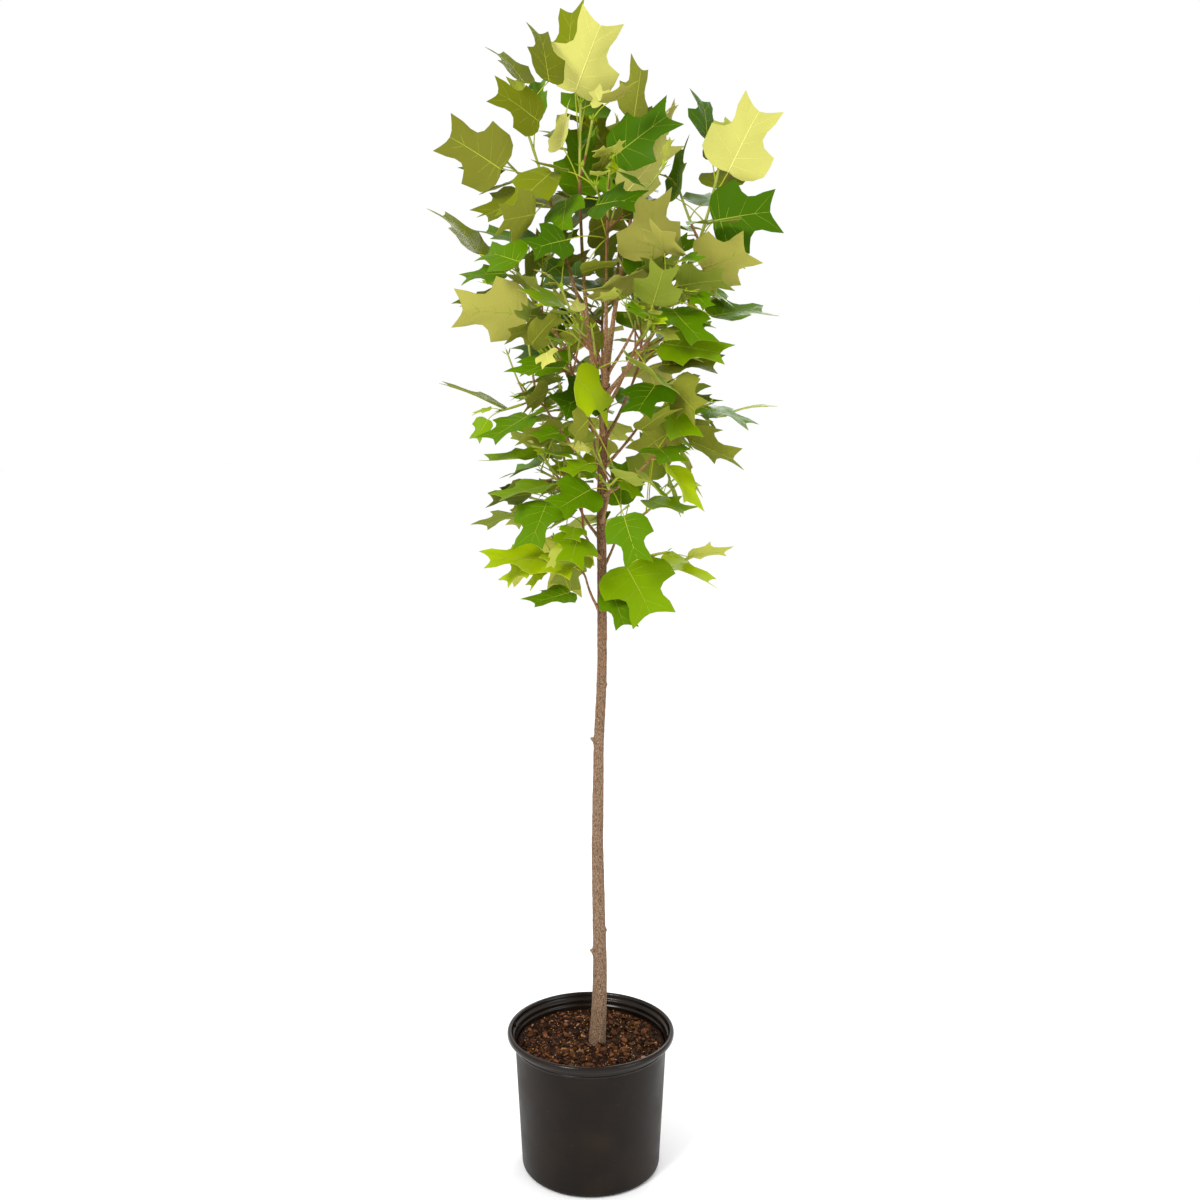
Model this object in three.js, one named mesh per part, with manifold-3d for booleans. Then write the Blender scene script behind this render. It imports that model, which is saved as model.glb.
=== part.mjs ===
// A young tulip poplar, grown as a slender standard tree in a black nursery pot of bark mix.
// Millimetres, +Z up, +X to the right and +Y away from the side that the tree is shown from.
// The origin is the middle of the pot's flat underside.

import * as THREE from 'three';
import { mergeVertices } from 'three/addons/utils/BufferGeometryUtils.js';
import Module from 'manifold-3d';

const wasm = await Module();
wasm.setup();

// Clearance between pieces that touch, and the distance under which vertices are one
const GAP = 0.3;
const WELD = 1e-4;

// A limb whose run is this near to upright has its section set by the X axis
const NEAR_UPRIGHT = 0.05;

// Pot: a number 5 nursery pot, with a rolled rim over a stepped collar
const RIM_RADIUS = 152.5;
const RIM_FOOT = 254;
const RIM_OUTSIDE = [
  { inwards: 8, up: 1 },
  { inwards: 3, up: 0 },
  { inwards: 0.6, up: 2 },
  { inwards: 0, up: 5 },
  { inwards: 1.2, up: 9.5 },
  { inwards: 4, up: 12 },
];
const RIM_INSIDE = [
  { inwards: 7.5, up: 11 },
  { inwards: 9, up: 8 },
  { inwards: 11, up: 1 },
];
const COLLAR_RADIUS = 141;
const COLLAR_TAPER = 0.6;
const COLLAR_FOOT = 245;
const COLLAR_LEDGE = 2;
const BODY_TOP_RADIUS = 138;
const BODY_TOP_HEIGHT = 238;
const BEAD = 1.4;
const BASE_RADIUS = 127;
const BASE_ROUNDING = 9;
const ROUNDING_CORNER = 0.3;
const WALL = 2.2;
const POT_SIDES = 24;
const DRAIN_HOLES = 4;
const DRAIN_RADIUS = 10;
const DRAIN_CIRCLE = 92;
const DRAIN_SIDES = 8;

// Bark mix: fills the pot to a little under the rim, level round the trunk and uneven elsewhere
const SOIL_LEVEL = 239;
const SOIL_RELIEF = 2.5;
const SOIL_WAVES = { across: 0.055, along: 0.043 };
const SOIL_WAVE_DROP = 0.3;
const SOIL_RINGS = 4;
const SOIL_SHOULDER = 3;
const SOIL_FLAT_RADIUS = 26;

// Trunk: height, sideways place and diameter, from the soil to the fork
const TRUNK_COURSE = [
  { height: SOIL_LEVEL, x: 11.5, diameter: 33 },
  { height: 250, x: 12.5, diameter: 29.4 },
  { height: 320, x: 16, diameter: 26.4 },
  { height: 398, x: 17, diameter: 24.6 },
  { height: 475, x: 15.2, diameter: 23.2 },
  { height: 551, x: 13.4, diameter: 22 },
  { height: 626, x: 12.5, diameter: 20.6 },
  { height: 701, x: 13.4, diameter: 19.6 },
  { height: 811, x: 15, diameter: 18.2 },
  { height: 884, x: 18.8, diameter: 17.4 },
  { height: 960, x: 20.8, diameter: 16.8 },
  { height: 1040, x: 20.5, diameter: 17 },
  { height: 1133, x: 20.4, diameter: 16.4 },
  { height: 1228, x: 18.7, diameter: 15.6 },
  { height: 1322, x: 22.1, diameter: 14.4 },
  { height: 1406, x: 24, diameter: 13 },
  { height: 1466, x: 28, diameter: 10.4 },
];
const TRUNK_SIDES = 10;
const TRUNK_KNOBS = [
  { height: 415, heading: 195, size: 6 },
  { height: 455, heading: 10, size: 4 },
  { height: 618, heading: 285, size: 4.5 },
  { height: 811, heading: 188, size: 6 },
  { height: 912, heading: 330, size: 4.5 },
];
const KNOB_SINK = 0.5;
const KNOB_SIDES = 6;

// Boughs: each leaves the trunk at a height and a heading (degrees from +X towards +Y) and ends
// a reach out and a rise up. A bend of 1 goes straight out first, and then straight up.
const BOUGHS = [
  { name: 'leader', height: 1400, heading: 204, reach: 42, rise: 300,
    bend: 0.55, base: 9.6, tip: 5 },
  { name: 'left_leader', height: 1446, heading: 171, reach: 76, rise: 226,
    bend: 0.1, base: 7.6, tip: 5 },
  { name: 'right_leader', height: 1460, heading: 20, reach: 34, rise: 190,
    bend: -0.1, base: 8.6, tip: 5.4 },
  { name: 'right_bough', height: 1412, heading: 350, reach: 130, rise: 188,
    bend: 0.15, base: 8, tip: 5 },
  { name: 'right_shoot', height: 1446, heading: 318, reach: 66, rise: 84,
    bend: 0.1, base: 5.4, tip: 4 },
  { name: 'left_bough', height: 1424, heading: 159, reach: 90, rise: 92,
    bend: 0.1, base: 6.6, tip: 4.6 },
  { name: 'left_spur', height: 1372, heading: 228, reach: 62, rise: 66,
    bend: 0.1, base: 6, tip: 4.2 },
  { name: 'left_arm', height: 1268, heading: 190, reach: 96, rise: 125,
    bend: 0.1, base: 5.6, tip: 4 },
  { name: 'right_arm', height: 1290, heading: 15, reach: 68, rise: 76,
    bend: 0.1, base: 5.6, tip: 4 },
  { name: 'right_low_arm', height: 1243, heading: 338, reach: 86, rise: 62,
    bend: 0.2, base: 5.6, tip: 4 },
  { name: 'left_low_spur', height: 1220, heading: 166, reach: 40, rise: 24,
    bend: 0.2, base: 6, tip: 4 },
  { name: 'right_low_twig', height: 1078, heading: 352, reach: 76, rise: 56,
    bend: 0.1, base: 5, tip: 3.6 },
  { name: 'left_low_twig', height: 1040, heading: 190, reach: 28, rise: 60,
    bend: 0.3, base: 5, tip: 3.6 },
  { name: 'front_leader', height: 1430, heading: 272, reach: 60, rise: 196,
    bend: 0.3, base: 7.4, tip: 4.8 },
  { name: 'back_leader', height: 1438, heading: 70, reach: 70, rise: 220,
    bend: 0.25, base: 7.6, tip: 4.8 },
  { name: 'front_bough', height: 1346, heading: 262, reach: 72, rise: 104,
    bend: 0.15, base: 6.6, tip: 4.4 },
  { name: 'front_right_bough', height: 1384, heading: 308, reach: 70, rise: 90,
    bend: 0.1, base: 6.4, tip: 4.4 },
  { name: 'back_bough', height: 1380, heading: 92, reach: 76, rise: 120,
    bend: 0.15, base: 6.8, tip: 4.4 },
  { name: 'back_left_bough', height: 1330, heading: 136, reach: 72, rise: 104,
    bend: 0.15, base: 6.4, tip: 4.4 },
  { name: 'back_right_bough', height: 1336, heading: 44, reach: 70, rise: 96,
    bend: 0.15, base: 6.4, tip: 4.4 },
  { name: 'front_mid_arm', height: 1196, heading: 284, reach: 52, rise: 58,
    bend: 0.15, base: 5.6, tip: 4 },
  { name: 'back_mid_arm', height: 1258, heading: 104, reach: 58, rise: 80,
    bend: 0.15, base: 5.6, tip: 4 },
  { name: 'front_low_arm', height: 1134, heading: 236, reach: 44, rise: 40,
    bend: 0.2, base: 5.2, tip: 3.8 },
  { name: 'back_low_arm', height: 1116, heading: 58, reach: 48, rise: 50,
    bend: 0.2, base: 5.2, tip: 3.8 },
  { name: 'back_left_low_arm', height: 1168, heading: 142, reach: 48, rise: 50,
    bend: 0.2, base: 5.2, tip: 3.8 },
];
const BOUGH_SIDES = 5;
const BOUGH_RINGS = 3;

// Foliage masses: the main shoot of each grows on from the tip of its bough by a reach, a rise
// and a heading. leaves stand on the main shoot, and forks are side twigs with leaves of their
// own. size is the blade's length low on the shoot, and droop how steeply the blades hang.
const MASSES = [
  { name: 'crown_top', bough: 'leader', heading: 90, reach: 5, rise: 184,
    leaves: 9, forks: 1, size: 96, droop: 0.2, seed: 11 },
  { name: 'crown_left', bough: 'left_leader', heading: 190, reach: 60, rise: 186,
    leaves: 8, forks: 1, size: 96, droop: 0.25, seed: 23 },
  { name: 'crown_right', bough: 'right_leader', heading: 35, reach: 14, rise: 208,
    leaves: 8, forks: 1, size: 96, droop: 0.2, seed: 31 },
  { name: 'crown_far_right', bough: 'right_bough', heading: 358, reach: 60, rise: 194,
    leaves: 6, forks: 1, size: 98, droop: 0.3, seed: 43 },
  { name: 'right_spray', bough: 'right_shoot', heading: 344, reach: 84, rise: 56,
    leaves: 7, forks: 1, size: 98, droop: 0.5, seed: 57 },
  { name: 'left_spray', bough: 'left_bough', heading: 172, reach: 64, rise: 100,
    leaves: 8, forks: 1, size: 100, droop: 0.45, seed: 61 },
  { name: 'left_spur_leaves', bough: 'left_spur', heading: 214, reach: 50, rise: 40,
    leaves: 6, forks: 1, size: 96, droop: 0.6, seed: 73 },
  { name: 'left_arm_leaves', bough: 'left_arm', heading: 186, reach: 50, rise: 20,
    leaves: 6, forks: 1, size: 90, droop: 0.6, seed: 83 },
  { name: 'right_arm_leaves', bough: 'right_arm', heading: 10, reach: 64, rise: 34,
    leaves: 6, forks: 1, size: 94, droop: 0.6, seed: 97 },
  { name: 'right_low_arm_leaves', bough: 'right_low_arm', heading: 342, reach: 36, rise: 20,
    leaves: 5, forks: 0, size: 90, droop: 0.6, seed: 101 },
  { name: 'left_low_spur_leaves', bough: 'left_low_spur', heading: 176, reach: 64, rise: 40,
    leaves: 6, forks: 1, size: 90, droop: 0.6, seed: 113 },
  { name: 'right_low_leaves', bough: 'right_low_twig', heading: 352, reach: 36, rise: 14,
    leaves: 4, forks: 0, size: 92, droop: 0.7, seed: 127 },
  { name: 'left_low_leaves', bough: 'left_low_twig', heading: 186, reach: 54, rise: 36,
    leaves: 5, forks: 0, size: 92, droop: 0.7, seed: 131 },
  { name: 'front_crown', bough: 'front_leader', heading: 280, reach: 30, rise: 160,
    leaves: 9, forks: 1, size: 96, droop: 0.35, seed: 149 },
  { name: 'back_crown', bough: 'back_leader', heading: 66, reach: 30, rise: 176,
    leaves: 9, forks: 1, size: 98, droop: 0.35, seed: 151 },
  { name: 'front_spray', bough: 'front_bough', heading: 258, reach: 44, rise: 76,
    leaves: 8, forks: 1, size: 96, droop: 0.5, seed: 163 },
  { name: 'front_right_spray', bough: 'front_right_bough', heading: 312, reach: 44, rise: 66,
    leaves: 7, forks: 1, size: 96, droop: 0.5, seed: 173 },
  { name: 'back_spray', bough: 'back_bough', heading: 86, reach: 44, rise: 96,
    leaves: 9, forks: 1, size: 98, droop: 0.45, seed: 181 },
  { name: 'back_left_spray', bough: 'back_left_bough', heading: 134, reach: 44, rise: 90,
    leaves: 9, forks: 2, size: 98, droop: 0.5, seed: 191 },
  { name: 'back_right_spray', bough: 'back_right_bough', heading: 40, reach: 44, rise: 84,
    leaves: 9, forks: 1, size: 98, droop: 0.5, seed: 199 },
  { name: 'front_mid_leaves', bough: 'front_mid_arm', heading: 290, reach: 40, rise: 30,
    leaves: 6, forks: 1, size: 90, droop: 0.6, seed: 211 },
  { name: 'back_mid_leaves', bough: 'back_mid_arm', heading: 106, reach: 44, rise: 44,
    leaves: 7, forks: 1, size: 92, droop: 0.6, seed: 223 },
  { name: 'front_low_leaves', bough: 'front_low_arm', heading: 238, reach: 36, rise: 20,
    leaves: 5, forks: 1, size: 88, droop: 0.65, seed: 233 },
  { name: 'back_low_leaves', bough: 'back_low_arm', heading: 56, reach: 40, rise: 26,
    leaves: 7, forks: 1, size: 90, droop: 0.65, seed: 241 },
  { name: 'back_left_low_leaves', bough: 'back_left_low_arm', heading: 146, reach: 40, rise: 26,
    leaves: 7, forks: 1, size: 90, droop: 0.65, seed: 251 },
];

// Edge leaves: the leaves that give the crown its outline, by where the foot and the end of the
// blade are seen from the eye point. depth is how far behind the trunk the foot lies, and away
// says whether the blade runs back (1), forward (-1) or neither (0) over its true length.
// tilt turns the blade about its midrib: 0 shows its upper side, 90 its edge and 180 its back.
const EYE = new THREE.Vector3(17, -2552, 1546);
const EDGE_LEAVES = [
  { mass: 'crown_top', foot: [-24, 1903], end: [24, 2024], depth: -8,
    away: 0, long: 130, wide: 126, tilt: 165 },
  { mass: 'crown_top', foot: [-34, 1940], end: [-30, 2042], depth: 32,
    away: 1, long: 112, wide: 84, tilt: 35 },
  { mass: 'crown_top', foot: [-45, 1818], end: [-42, 1880], depth: -30,
    away: 1, long: 84, wide: 70, tilt: 60 },
  { mass: 'crown_top', foot: [-14, 1742], end: [-16, 1855], depth: 44,
    away: 0, long: 112, wide: 100, tilt: 20 },
  { mass: 'crown_left', foot: [-66, 1920], end: [-82, 2012], depth: -56,
    away: 1, long: 104, wide: 78, tilt: 48 },
  { mass: 'crown_left', foot: [-106, 1918], end: [-152, 1976], depth: -8,
    away: 1, long: 92, wide: 66, tilt: 62 },
  { mass: 'crown_left', foot: [-82, 1857], end: [-156, 1914], depth: -36,
    away: -1, long: 104, wide: 86, tilt: 40 },
  { mass: 'crown_left', foot: [-145, 1782], end: [-238, 1844], depth: -40,
    away: 1, long: 118, wide: 114, tilt: 168 },
  { mass: 'crown_left', foot: [-62, 1778], end: [-146, 1708], depth: -64,
    away: -1, long: 116, wide: 96, tilt: 55 },
  { mass: 'crown_right', foot: [72, 1862], end: [86, 1952], depth: 8,
    away: 1, long: 100, wide: 84, tilt: 132 },
  { mass: 'crown_right', foot: [40, 1803], end: [140, 1876], depth: -24,
    away: -1, long: 126, wide: 108, tilt: 38 },
  { mass: 'crown_right', foot: [57, 1742], end: [140, 1834], depth: -21,
    away: 0, long: 126, wide: 80, tilt: 150 },
  { mass: 'crown_far_right', foot: [142, 1736], end: [150, 1826], depth: -16,
    away: 1, long: 98, wide: 78, tilt: 66 },
  { mass: 'crown_far_right', foot: [193, 1828], end: [186, 1902], depth: 0,
    away: 1, long: 96, wide: 80, tilt: 50 },
  { mass: 'crown_far_right', foot: [228, 1778], end: [281, 1890], depth: -30,
    away: 0, long: 124, wide: 126, tilt: 162 },
  { mass: 'crown_far_right', foot: [204, 1700], end: [314, 1720], depth: -64,
    away: 0, long: 114, wide: 124, tilt: 22 },
  { mass: 'crown_far_right', foot: [186, 1624], end: [272, 1652], depth: -70,
    away: -1, long: 104, wide: 112, tilt: 150 },
  { mass: 'left_spray', foot: [-182, 1646], end: [-247, 1726], depth: 20,
    away: 1, long: 112, wide: 88, tilt: 66 },
  { mass: 'left_spray', foot: [-108, 1548], end: [-230, 1562], depth: -16,
    away: 0, long: 122, wide: 112, tilt: 160 },
  { mass: 'left_spray', foot: [-150, 1530], end: [-250, 1518], depth: 60,
    away: 1, long: 112, wide: 96, tilt: 112 },
  { mass: 'left_spray', foot: [-100, 1662], end: [-180, 1688], depth: 56,
    away: 1, long: 104, wide: 90, tilt: 70 },
  { mass: 'right_spray', foot: [203, 1545], end: [302, 1562], depth: -60,
    away: 1, long: 108, wide: 92, tilt: 66 },
  { mass: 'right_spray', foot: [122, 1500], end: [236, 1484], depth: -90,
    away: -1, long: 120, wide: 108, tilt: 58 },
  { mass: 'right_arm_leaves', foot: [186, 1394], end: [280, 1372], depth: 20,
    away: -1, long: 104, wide: 90, tilt: 78 },
  { mass: 'right_arm_leaves', foot: [212, 1376], end: [312, 1408], depth: 60,
    away: 0, long: 104, wide: 70, tilt: 86 },
  { mass: 'right_arm_leaves', foot: [166, 1340], end: [256, 1302], depth: -10,
    away: -1, long: 108, wide: 96, tilt: 120 },
  { mass: 'left_arm_leaves', foot: [-143, 1390], end: [-250, 1440], depth: -20,
    away: 0, long: 118, wide: 60, tilt: 84 },
  { mass: 'left_arm_leaves', foot: [-104, 1380], end: [-176, 1336], depth: -60,
    away: -1, long: 100, wide: 88, tilt: 62 },
  { mass: 'front_spray', foot: [-24, 1442], end: [44, 1386], depth: -140,
    away: 1, long: 104, wide: 92, tilt: 42 },
  { mass: 'left_low_spur_leaves', foot: [-70, 1262], end: [-164, 1240], depth: -26,
    away: -1, long: 104, wide: 88, tilt: 74 },
  { mass: 'left_low_spur_leaves', foot: [-86, 1296], end: [-136, 1280], depth: 52,
    away: 1, long: 92, wide: 80, tilt: 76 },
  { mass: 'left_low_leaves', foot: [-112, 1210], end: [-190, 1198], depth: 20,
    away: 1, long: 92, wide: 84, tilt: 104 },
  { mass: 'left_low_leaves', foot: [-78, 1132], end: [-188, 1140], depth: -40,
    away: -1, long: 114, wide: 98, tilt: 60 },
  { mass: 'left_low_leaves', foot: [-34, 1076], end: [-108, 1054], depth: -50,
    away: -1, long: 88, wide: 80, tilt: 62 },
  { mass: 'right_low_arm_leaves', foot: [100, 1236], end: [174, 1214], depth: -36,
    away: -1, long: 92, wide: 84, tilt: 70 },
  { mass: 'right_low_leaves', foot: [62, 1122], end: [114, 1028], depth: -44,
    away: -1, long: 118, wide: 140, tilt: 24 },
  { mass: 'right_low_leaves', foot: [122, 1126], end: [220, 1096], depth: -44,
    away: 0, long: 104, wide: 88, tilt: 70 },
  { mass: 'right_low_leaves', foot: [168, 1138], end: [240, 1152], depth: 14,
    away: 1, long: 78, wide: 66, tilt: 110 },
];

// Blade: half outline as shares of half the width and of the length, folded along the midrib
const BLADE_HALF = [
  { across: 0.6, along: 0.06 },
  { across: 1, along: 0.42 },
  { across: 0.5, along: 0.56 },
  { across: 0.6, along: 1 },
];
const BLADE_NOTCH = 0.86;
const BLADE_THICKNESS = 1.4;
const BLADE_FOLD = 0.22;
const PETIOLE_RADIUS = 0.85;
const PETIOLE_FLATNESS = 0.6;
const TWIG_SIDES = 3;

// Shoots and side twigs. A shoot's foot isn't quite parallel to the tip that it grows on from,
// so it starts a little more than the usual clearance beyond it.
const SHOOT_CLEARANCE = 0.6;
const SHOOT_RINGS = 3;
const SHOOT_STEPS = 12;
const SHOOT_BEND = 0.4;
const SHOOT_TIP_RADIUS = 2;
const FORK_RADIUS = 2.1;
const FORK_LENGTH = 96;
const FORK_LEAVES = 4;
const FORK_SPLIT = 52;
const FORK_LIFT = 0.25;
const FORK_PLACES = [0.16, 0.62];
const LONE_FORK_PLACE = 0.4;
const FORK_SPREAD = [0.8, 1.2];

// Leaves of the rule. A pair of numbers is a range, dealt by the dice or run from the foot of
// the shoot to its tip: how far the petiole splits off, the blade's length, the petiole's length
// as a share of the blade's, the blade's hang and roll, and its width as a share of its length.
const TURN_PER_LEAF = 137.5;
const TURN_RETRY = 47;
const TURN_SPREAD = [-14, 14];
const TRIES = 14;
const FIRST_NODE = 0.14;
const NODE_CROWDING = 0.85;
const SPLIT_ALONG = [70, 26];
const SPLIT_SPREAD = [0.85, 1.15];
const SIZE_ALONG = [1.06, 0.62];
const SIZE_SPREAD = [0.88, 1.1];
const PETIOLE_SPREAD = [0.5, 0.85];
const PETIOLE_RETRY = 0.03;
const DROOP_SPREAD = [0.5, 1.5];
const ROLL_SPREAD = [-38, 38];
const WIDTH_SPREAD = [0.92, 1.14];

// Edge leaves: depths that are tried in turn, the petiole as a share of the blade, the places on
// the shoot that it may start from, and the cost of a start that lies above the blade's foot
const DEPTH_SHIFTS = [0, 14, -14, 28, -28, 42, -42, 56, -56, 70, -70];
const EDGE_PETIOLE = 0.75;
const NODE_PLACES = [0.3, 1];
const NODE_STEPS = 14;
const NODE_ABOVE_COST = 0.5;

// Space: cells that a limb or a mass has taken, and how closely surfaces are sampled for them
const CELL = 7;
const SAMPLE = 4;
const CELL_OFFSET = 512;
const CELL_SPAN = 1024;
const CLEAR_OF_FOOT = 14;
const LIMB_SPOT_TURN = 60;

// Dice: a repeatable run of numbers, by repeated multiplication within a range
const DICE_SEED_STEP = 65537;
const DICE_FACTOR = 48271;
const DICE_RANGE = 2147483647;

// Crown: the widest that leaves of the rule reach from the crown's middle, by height
const CROWN_MIDDLE = 22;
const CROWN_PROFILE = [
  { height: 1010, radius: 80 },
  { height: 1090, radius: 205 },
  { height: 1300, radius: 225 },
  { height: 1450, radius: 255 },
  { height: 1820, radius: 280 },
  { height: 1930, radius: 175 },
  { height: 2030, radius: 70 },
];

// Finishes, from the photographed plant
function finish(color, roughness) {
  return new THREE.MeshStandardMaterial({ color, roughness, metalness: 0 });
}
const potPlastic = finish('#2b2724', 0.55);
const barkMix = finish('#3d2618', 0.95);
const greyBark = finish('#8a7c66', 0.85);
const youngBark = finish('#8a5136', 0.7);
const midGreen = finish('#5c8f1e', 0.5);

const UP = new THREE.Vector3(0, 0, 1);
const radians = (degrees) => (degrees * Math.PI) / 180;
const mix = (low, high, share) => low + (high - low) * share;
const within = ([low, high], share) => mix(low, high, share);
const heading = (degrees) => new THREE.Vector3(1, 0, 0).applyAxisAngle(UP, radians(degrees));

// Solids
function toSolid(geometry) {
  const bare = geometry.clone();
  bare.deleteAttribute('normal');
  bare.deleteAttribute('uv');
  const merged = mergeVertices(bare, WELD);
  const corners = merged.index.array;
  const triangles = [];
  for (let i = 0; i < corners.length; i += 3) {
    const [a, b, c] = [corners[i], corners[i + 1], corners[i + 2]];
    if (a !== b && b !== c && c !== a) {
      triangles.push(a, b, c);
    }
  }
  const mesh = new wasm.Mesh({
    numProp: 3,
    vertProperties: new Float32Array(merged.attributes.position.array),
    triVerts: new Uint32Array(triangles),
  });
  return new wasm.Manifold(mesh);
}

function toMesh(name, solid, material) {
  const body = solid.getMesh();
  const geometry = new THREE.BufferGeometry();
  geometry.setAttribute('position', new THREE.BufferAttribute(body.vertProperties, 3));
  geometry.setIndex(new THREE.BufferAttribute(body.triVerts, 1));
  const mesh = new THREE.Mesh(geometry, material.clone());
  mesh.name = name;
  return mesh;
}

// The largest body alone: loose scraps go, and a hollow that joining sealed is filled
function wholeBody(solid) {
  const bodies = solid.decompose();
  return bodies.reduce((best, body) => (body.volume() > best.volume() ? body : best));
}

// A closed profile of radius and height turned round the upright axis
function turnedProfile(profile) {
  const turned = new THREE.LatheGeometry(profile.map((spot) => new THREE.Vector2(...spot)), POT_SIDES);
  return turned.rotateX(Math.PI / 2);
}

// A limb of round section through ring centres, each with its own radius. An upright limb keeps
// its rings level, so its foot is a level cut.
function limbSolid(centres, radii, sides, upright = false) {
  const rings = centres.length - 1;
  const limb = new THREE.CylinderGeometry(1, 1, 1, sides, rings);
  const side = centres[rings].clone().sub(centres[0]).normalize().cross(UP);
  if (upright || side.length() < NEAR_UPRIGHT) {
    side.set(1, 0, 0);
  }
  const frames = centres.map((centre, i) => {
    const before = centres[Math.max(i - 1, 0)];
    const after = centres[Math.min(i + 1, rings)];
    const along = upright ? UP.clone() : after.clone().sub(before).normalize();
    const across = side.clone().addScaledVector(along, -side.dot(along)).normalize();
    return { across, other: across.clone().cross(along) };
  });
  const corners = limb.attributes.position;
  for (let i = 0; i < corners.count; i += 1) {
    const ring = Math.round((corners.getY(i) + 0.5) * rings);
    const spot = centres[ring].clone();
    spot.addScaledVector(frames[ring].across, corners.getX(i) * radii[ring]);
    spot.addScaledVector(frames[ring].other, corners.getZ(i) * radii[ring]);
    corners.setXYZ(i, spot.x, spot.y, spot.z);
  }
  return toSolid(limb);
}

// Pot
function potSolid() {
  const rimSpot = ({ inwards, up }) => [RIM_RADIUS - inwards, RIM_FOOT + up];
  const roundedFoot = BASE_RADIUS - BASE_ROUNDING;
  const corner = BASE_ROUNDING * ROUNDING_CORNER;
  const collarInside = COLLAR_RADIUS - WALL;
  const bodyInside = BODY_TOP_RADIUS - WALL;
  const outside = [
    [0, 0],
    [roundedFoot, 0],
    [BASE_RADIUS - corner, corner],
    [BASE_RADIUS, BASE_ROUNDING],
    [BODY_TOP_RADIUS, BODY_TOP_HEIGHT],
    [BODY_TOP_RADIUS + BEAD, BODY_TOP_HEIGHT + BEAD],
    [BODY_TOP_RADIUS + BEAD, BODY_TOP_HEIGHT + 2 * BEAD],
    [BODY_TOP_RADIUS, BODY_TOP_HEIGHT + 3 * BEAD],
    [COLLAR_RADIUS, COLLAR_FOOT],
    ...RIM_OUTSIDE.map(rimSpot),
  ];
  const inside = [
    ...RIM_INSIDE.map(rimSpot),
    [collarInside, RIM_FOOT - WALL / 2],
    [collarInside - COLLAR_TAPER, COLLAR_FOOT],
    [bodyInside, COLLAR_FOOT - COLLAR_LEDGE],
    [bodyInside, BODY_TOP_HEIGHT],
    [BASE_RADIUS - WALL, BASE_ROUNDING],
    [BASE_RADIUS - corner - WALL, corner + WALL],
    [roundedFoot - WALL, 2 * WALL],
    [0, 2 * WALL],
  ];
  let pot = toSolid(turnedProfile([...outside, ...inside]));
  for (let i = 0; i < DRAIN_HOLES; i += 1) {
    const hole = new THREE.CylinderGeometry(DRAIN_RADIUS, DRAIN_RADIUS, 6 * WALL, DRAIN_SIDES);
    const place = heading((360 / DRAIN_HOLES) * (i + 0.5)).multiplyScalar(DRAIN_CIRCLE);
    hole.rotateX(Math.PI / 2);
    hole.translate(place.x, place.y, 0);
    pot = pot.subtract(toSolid(hole));
  }
  return pot;
}

// Bark mix: an inner plug of the pot whose top waves a little away from the trunk
function soilSolid() {
  const floor = 2 * WALL + GAP;
  const top = SOIL_LEVEL - GAP;
  const topRadius = BODY_TOP_RADIUS - WALL - GAP;
  const slope = (BODY_TOP_RADIUS - BASE_RADIUS) / (BODY_TOP_HEIGHT - BASE_ROUNDING);
  const edge = SOIL_LEVEL - 2 * SOIL_RELIEF;
  const profile = [
    [0, floor],
    [BASE_RADIUS - BASE_ROUNDING - WALL - 2 * GAP, floor],
    [BASE_RADIUS - WALL - 2 * GAP, BASE_ROUNDING + WALL],
    [topRadius - GAP - slope * (BODY_TOP_HEIGHT - edge), edge],
  ];
  for (let i = SOIL_RINGS; i >= 0; i -= 1) {
    profile.push([(topRadius - SOIL_SHOULDER) * (i / SOIL_RINGS), top]);
  }
  const turned = turnedProfile(profile);
  const spots = turned.attributes.position;
  for (let i = 0; i < spots.count; i += 1) {
    if (spots.getZ(i) > edge + WELD) {
      const [x, y] = [spots.getX(i), spots.getY(i)];
      const fromTrunk = Math.hypot(x - TRUNK_COURSE[0].x, y) - SOIL_FLAT_RADIUS;
      const waves = Math.sin(x * SOIL_WAVES.across + 1) * Math.cos(y * SOIL_WAVES.along) - SOIL_WAVE_DROP;
      const share = Math.min(Math.max(fromTrunk / SOIL_FLAT_RADIUS, 0), 1);
      spots.setZ(i, top + waves * share * SOIL_RELIEF);
    }
  }
  return toSolid(turned);
}

// Trunk
function trunkAt(height) {
  const above = TRUNK_COURSE.findIndex((ring) => ring.height >= height);
  const next = TRUNK_COURSE[Math.max(above, 1)];
  const last = TRUNK_COURSE[Math.max(above, 1) - 1];
  const share = (height - last.height) / (next.height - last.height);
  return { x: mix(last.x, next.x, share), radius: mix(last.diameter, next.diameter, share) / 2 };
}

function trunkSolid(growth) {
  const last = TRUNK_COURSE.length - 1;
  const centres = TRUNK_COURSE.map(({ x, height }, i) => {
    const lengthened = height + (i === last ? growth : 0) - (i === 0 ? growth : 0);
    return new THREE.Vector3(x, 0, lengthened);
  });
  const radii = TRUNK_COURSE.map(({ diameter }) => diameter / 2 + growth);
  return limbSolid(centres, radii, TRUNK_SIDES, true);
}

function knobbedTrunk() {
  let trunk = trunkSolid(0);
  for (const knob of TRUNK_KNOBS) {
    const { x, radius } = trunkAt(knob.height);
    const place = heading(knob.heading).multiplyScalar(radius - knob.size * KNOB_SINK);
    const lump = new THREE.SphereGeometry(knob.size, KNOB_SIDES, KNOB_SIDES - 2);
    lump.translate(x + place.x, place.y, knob.height);
    trunk = trunk.add(toSolid(lump));
  }
  return wholeBody(trunk);
}

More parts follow.
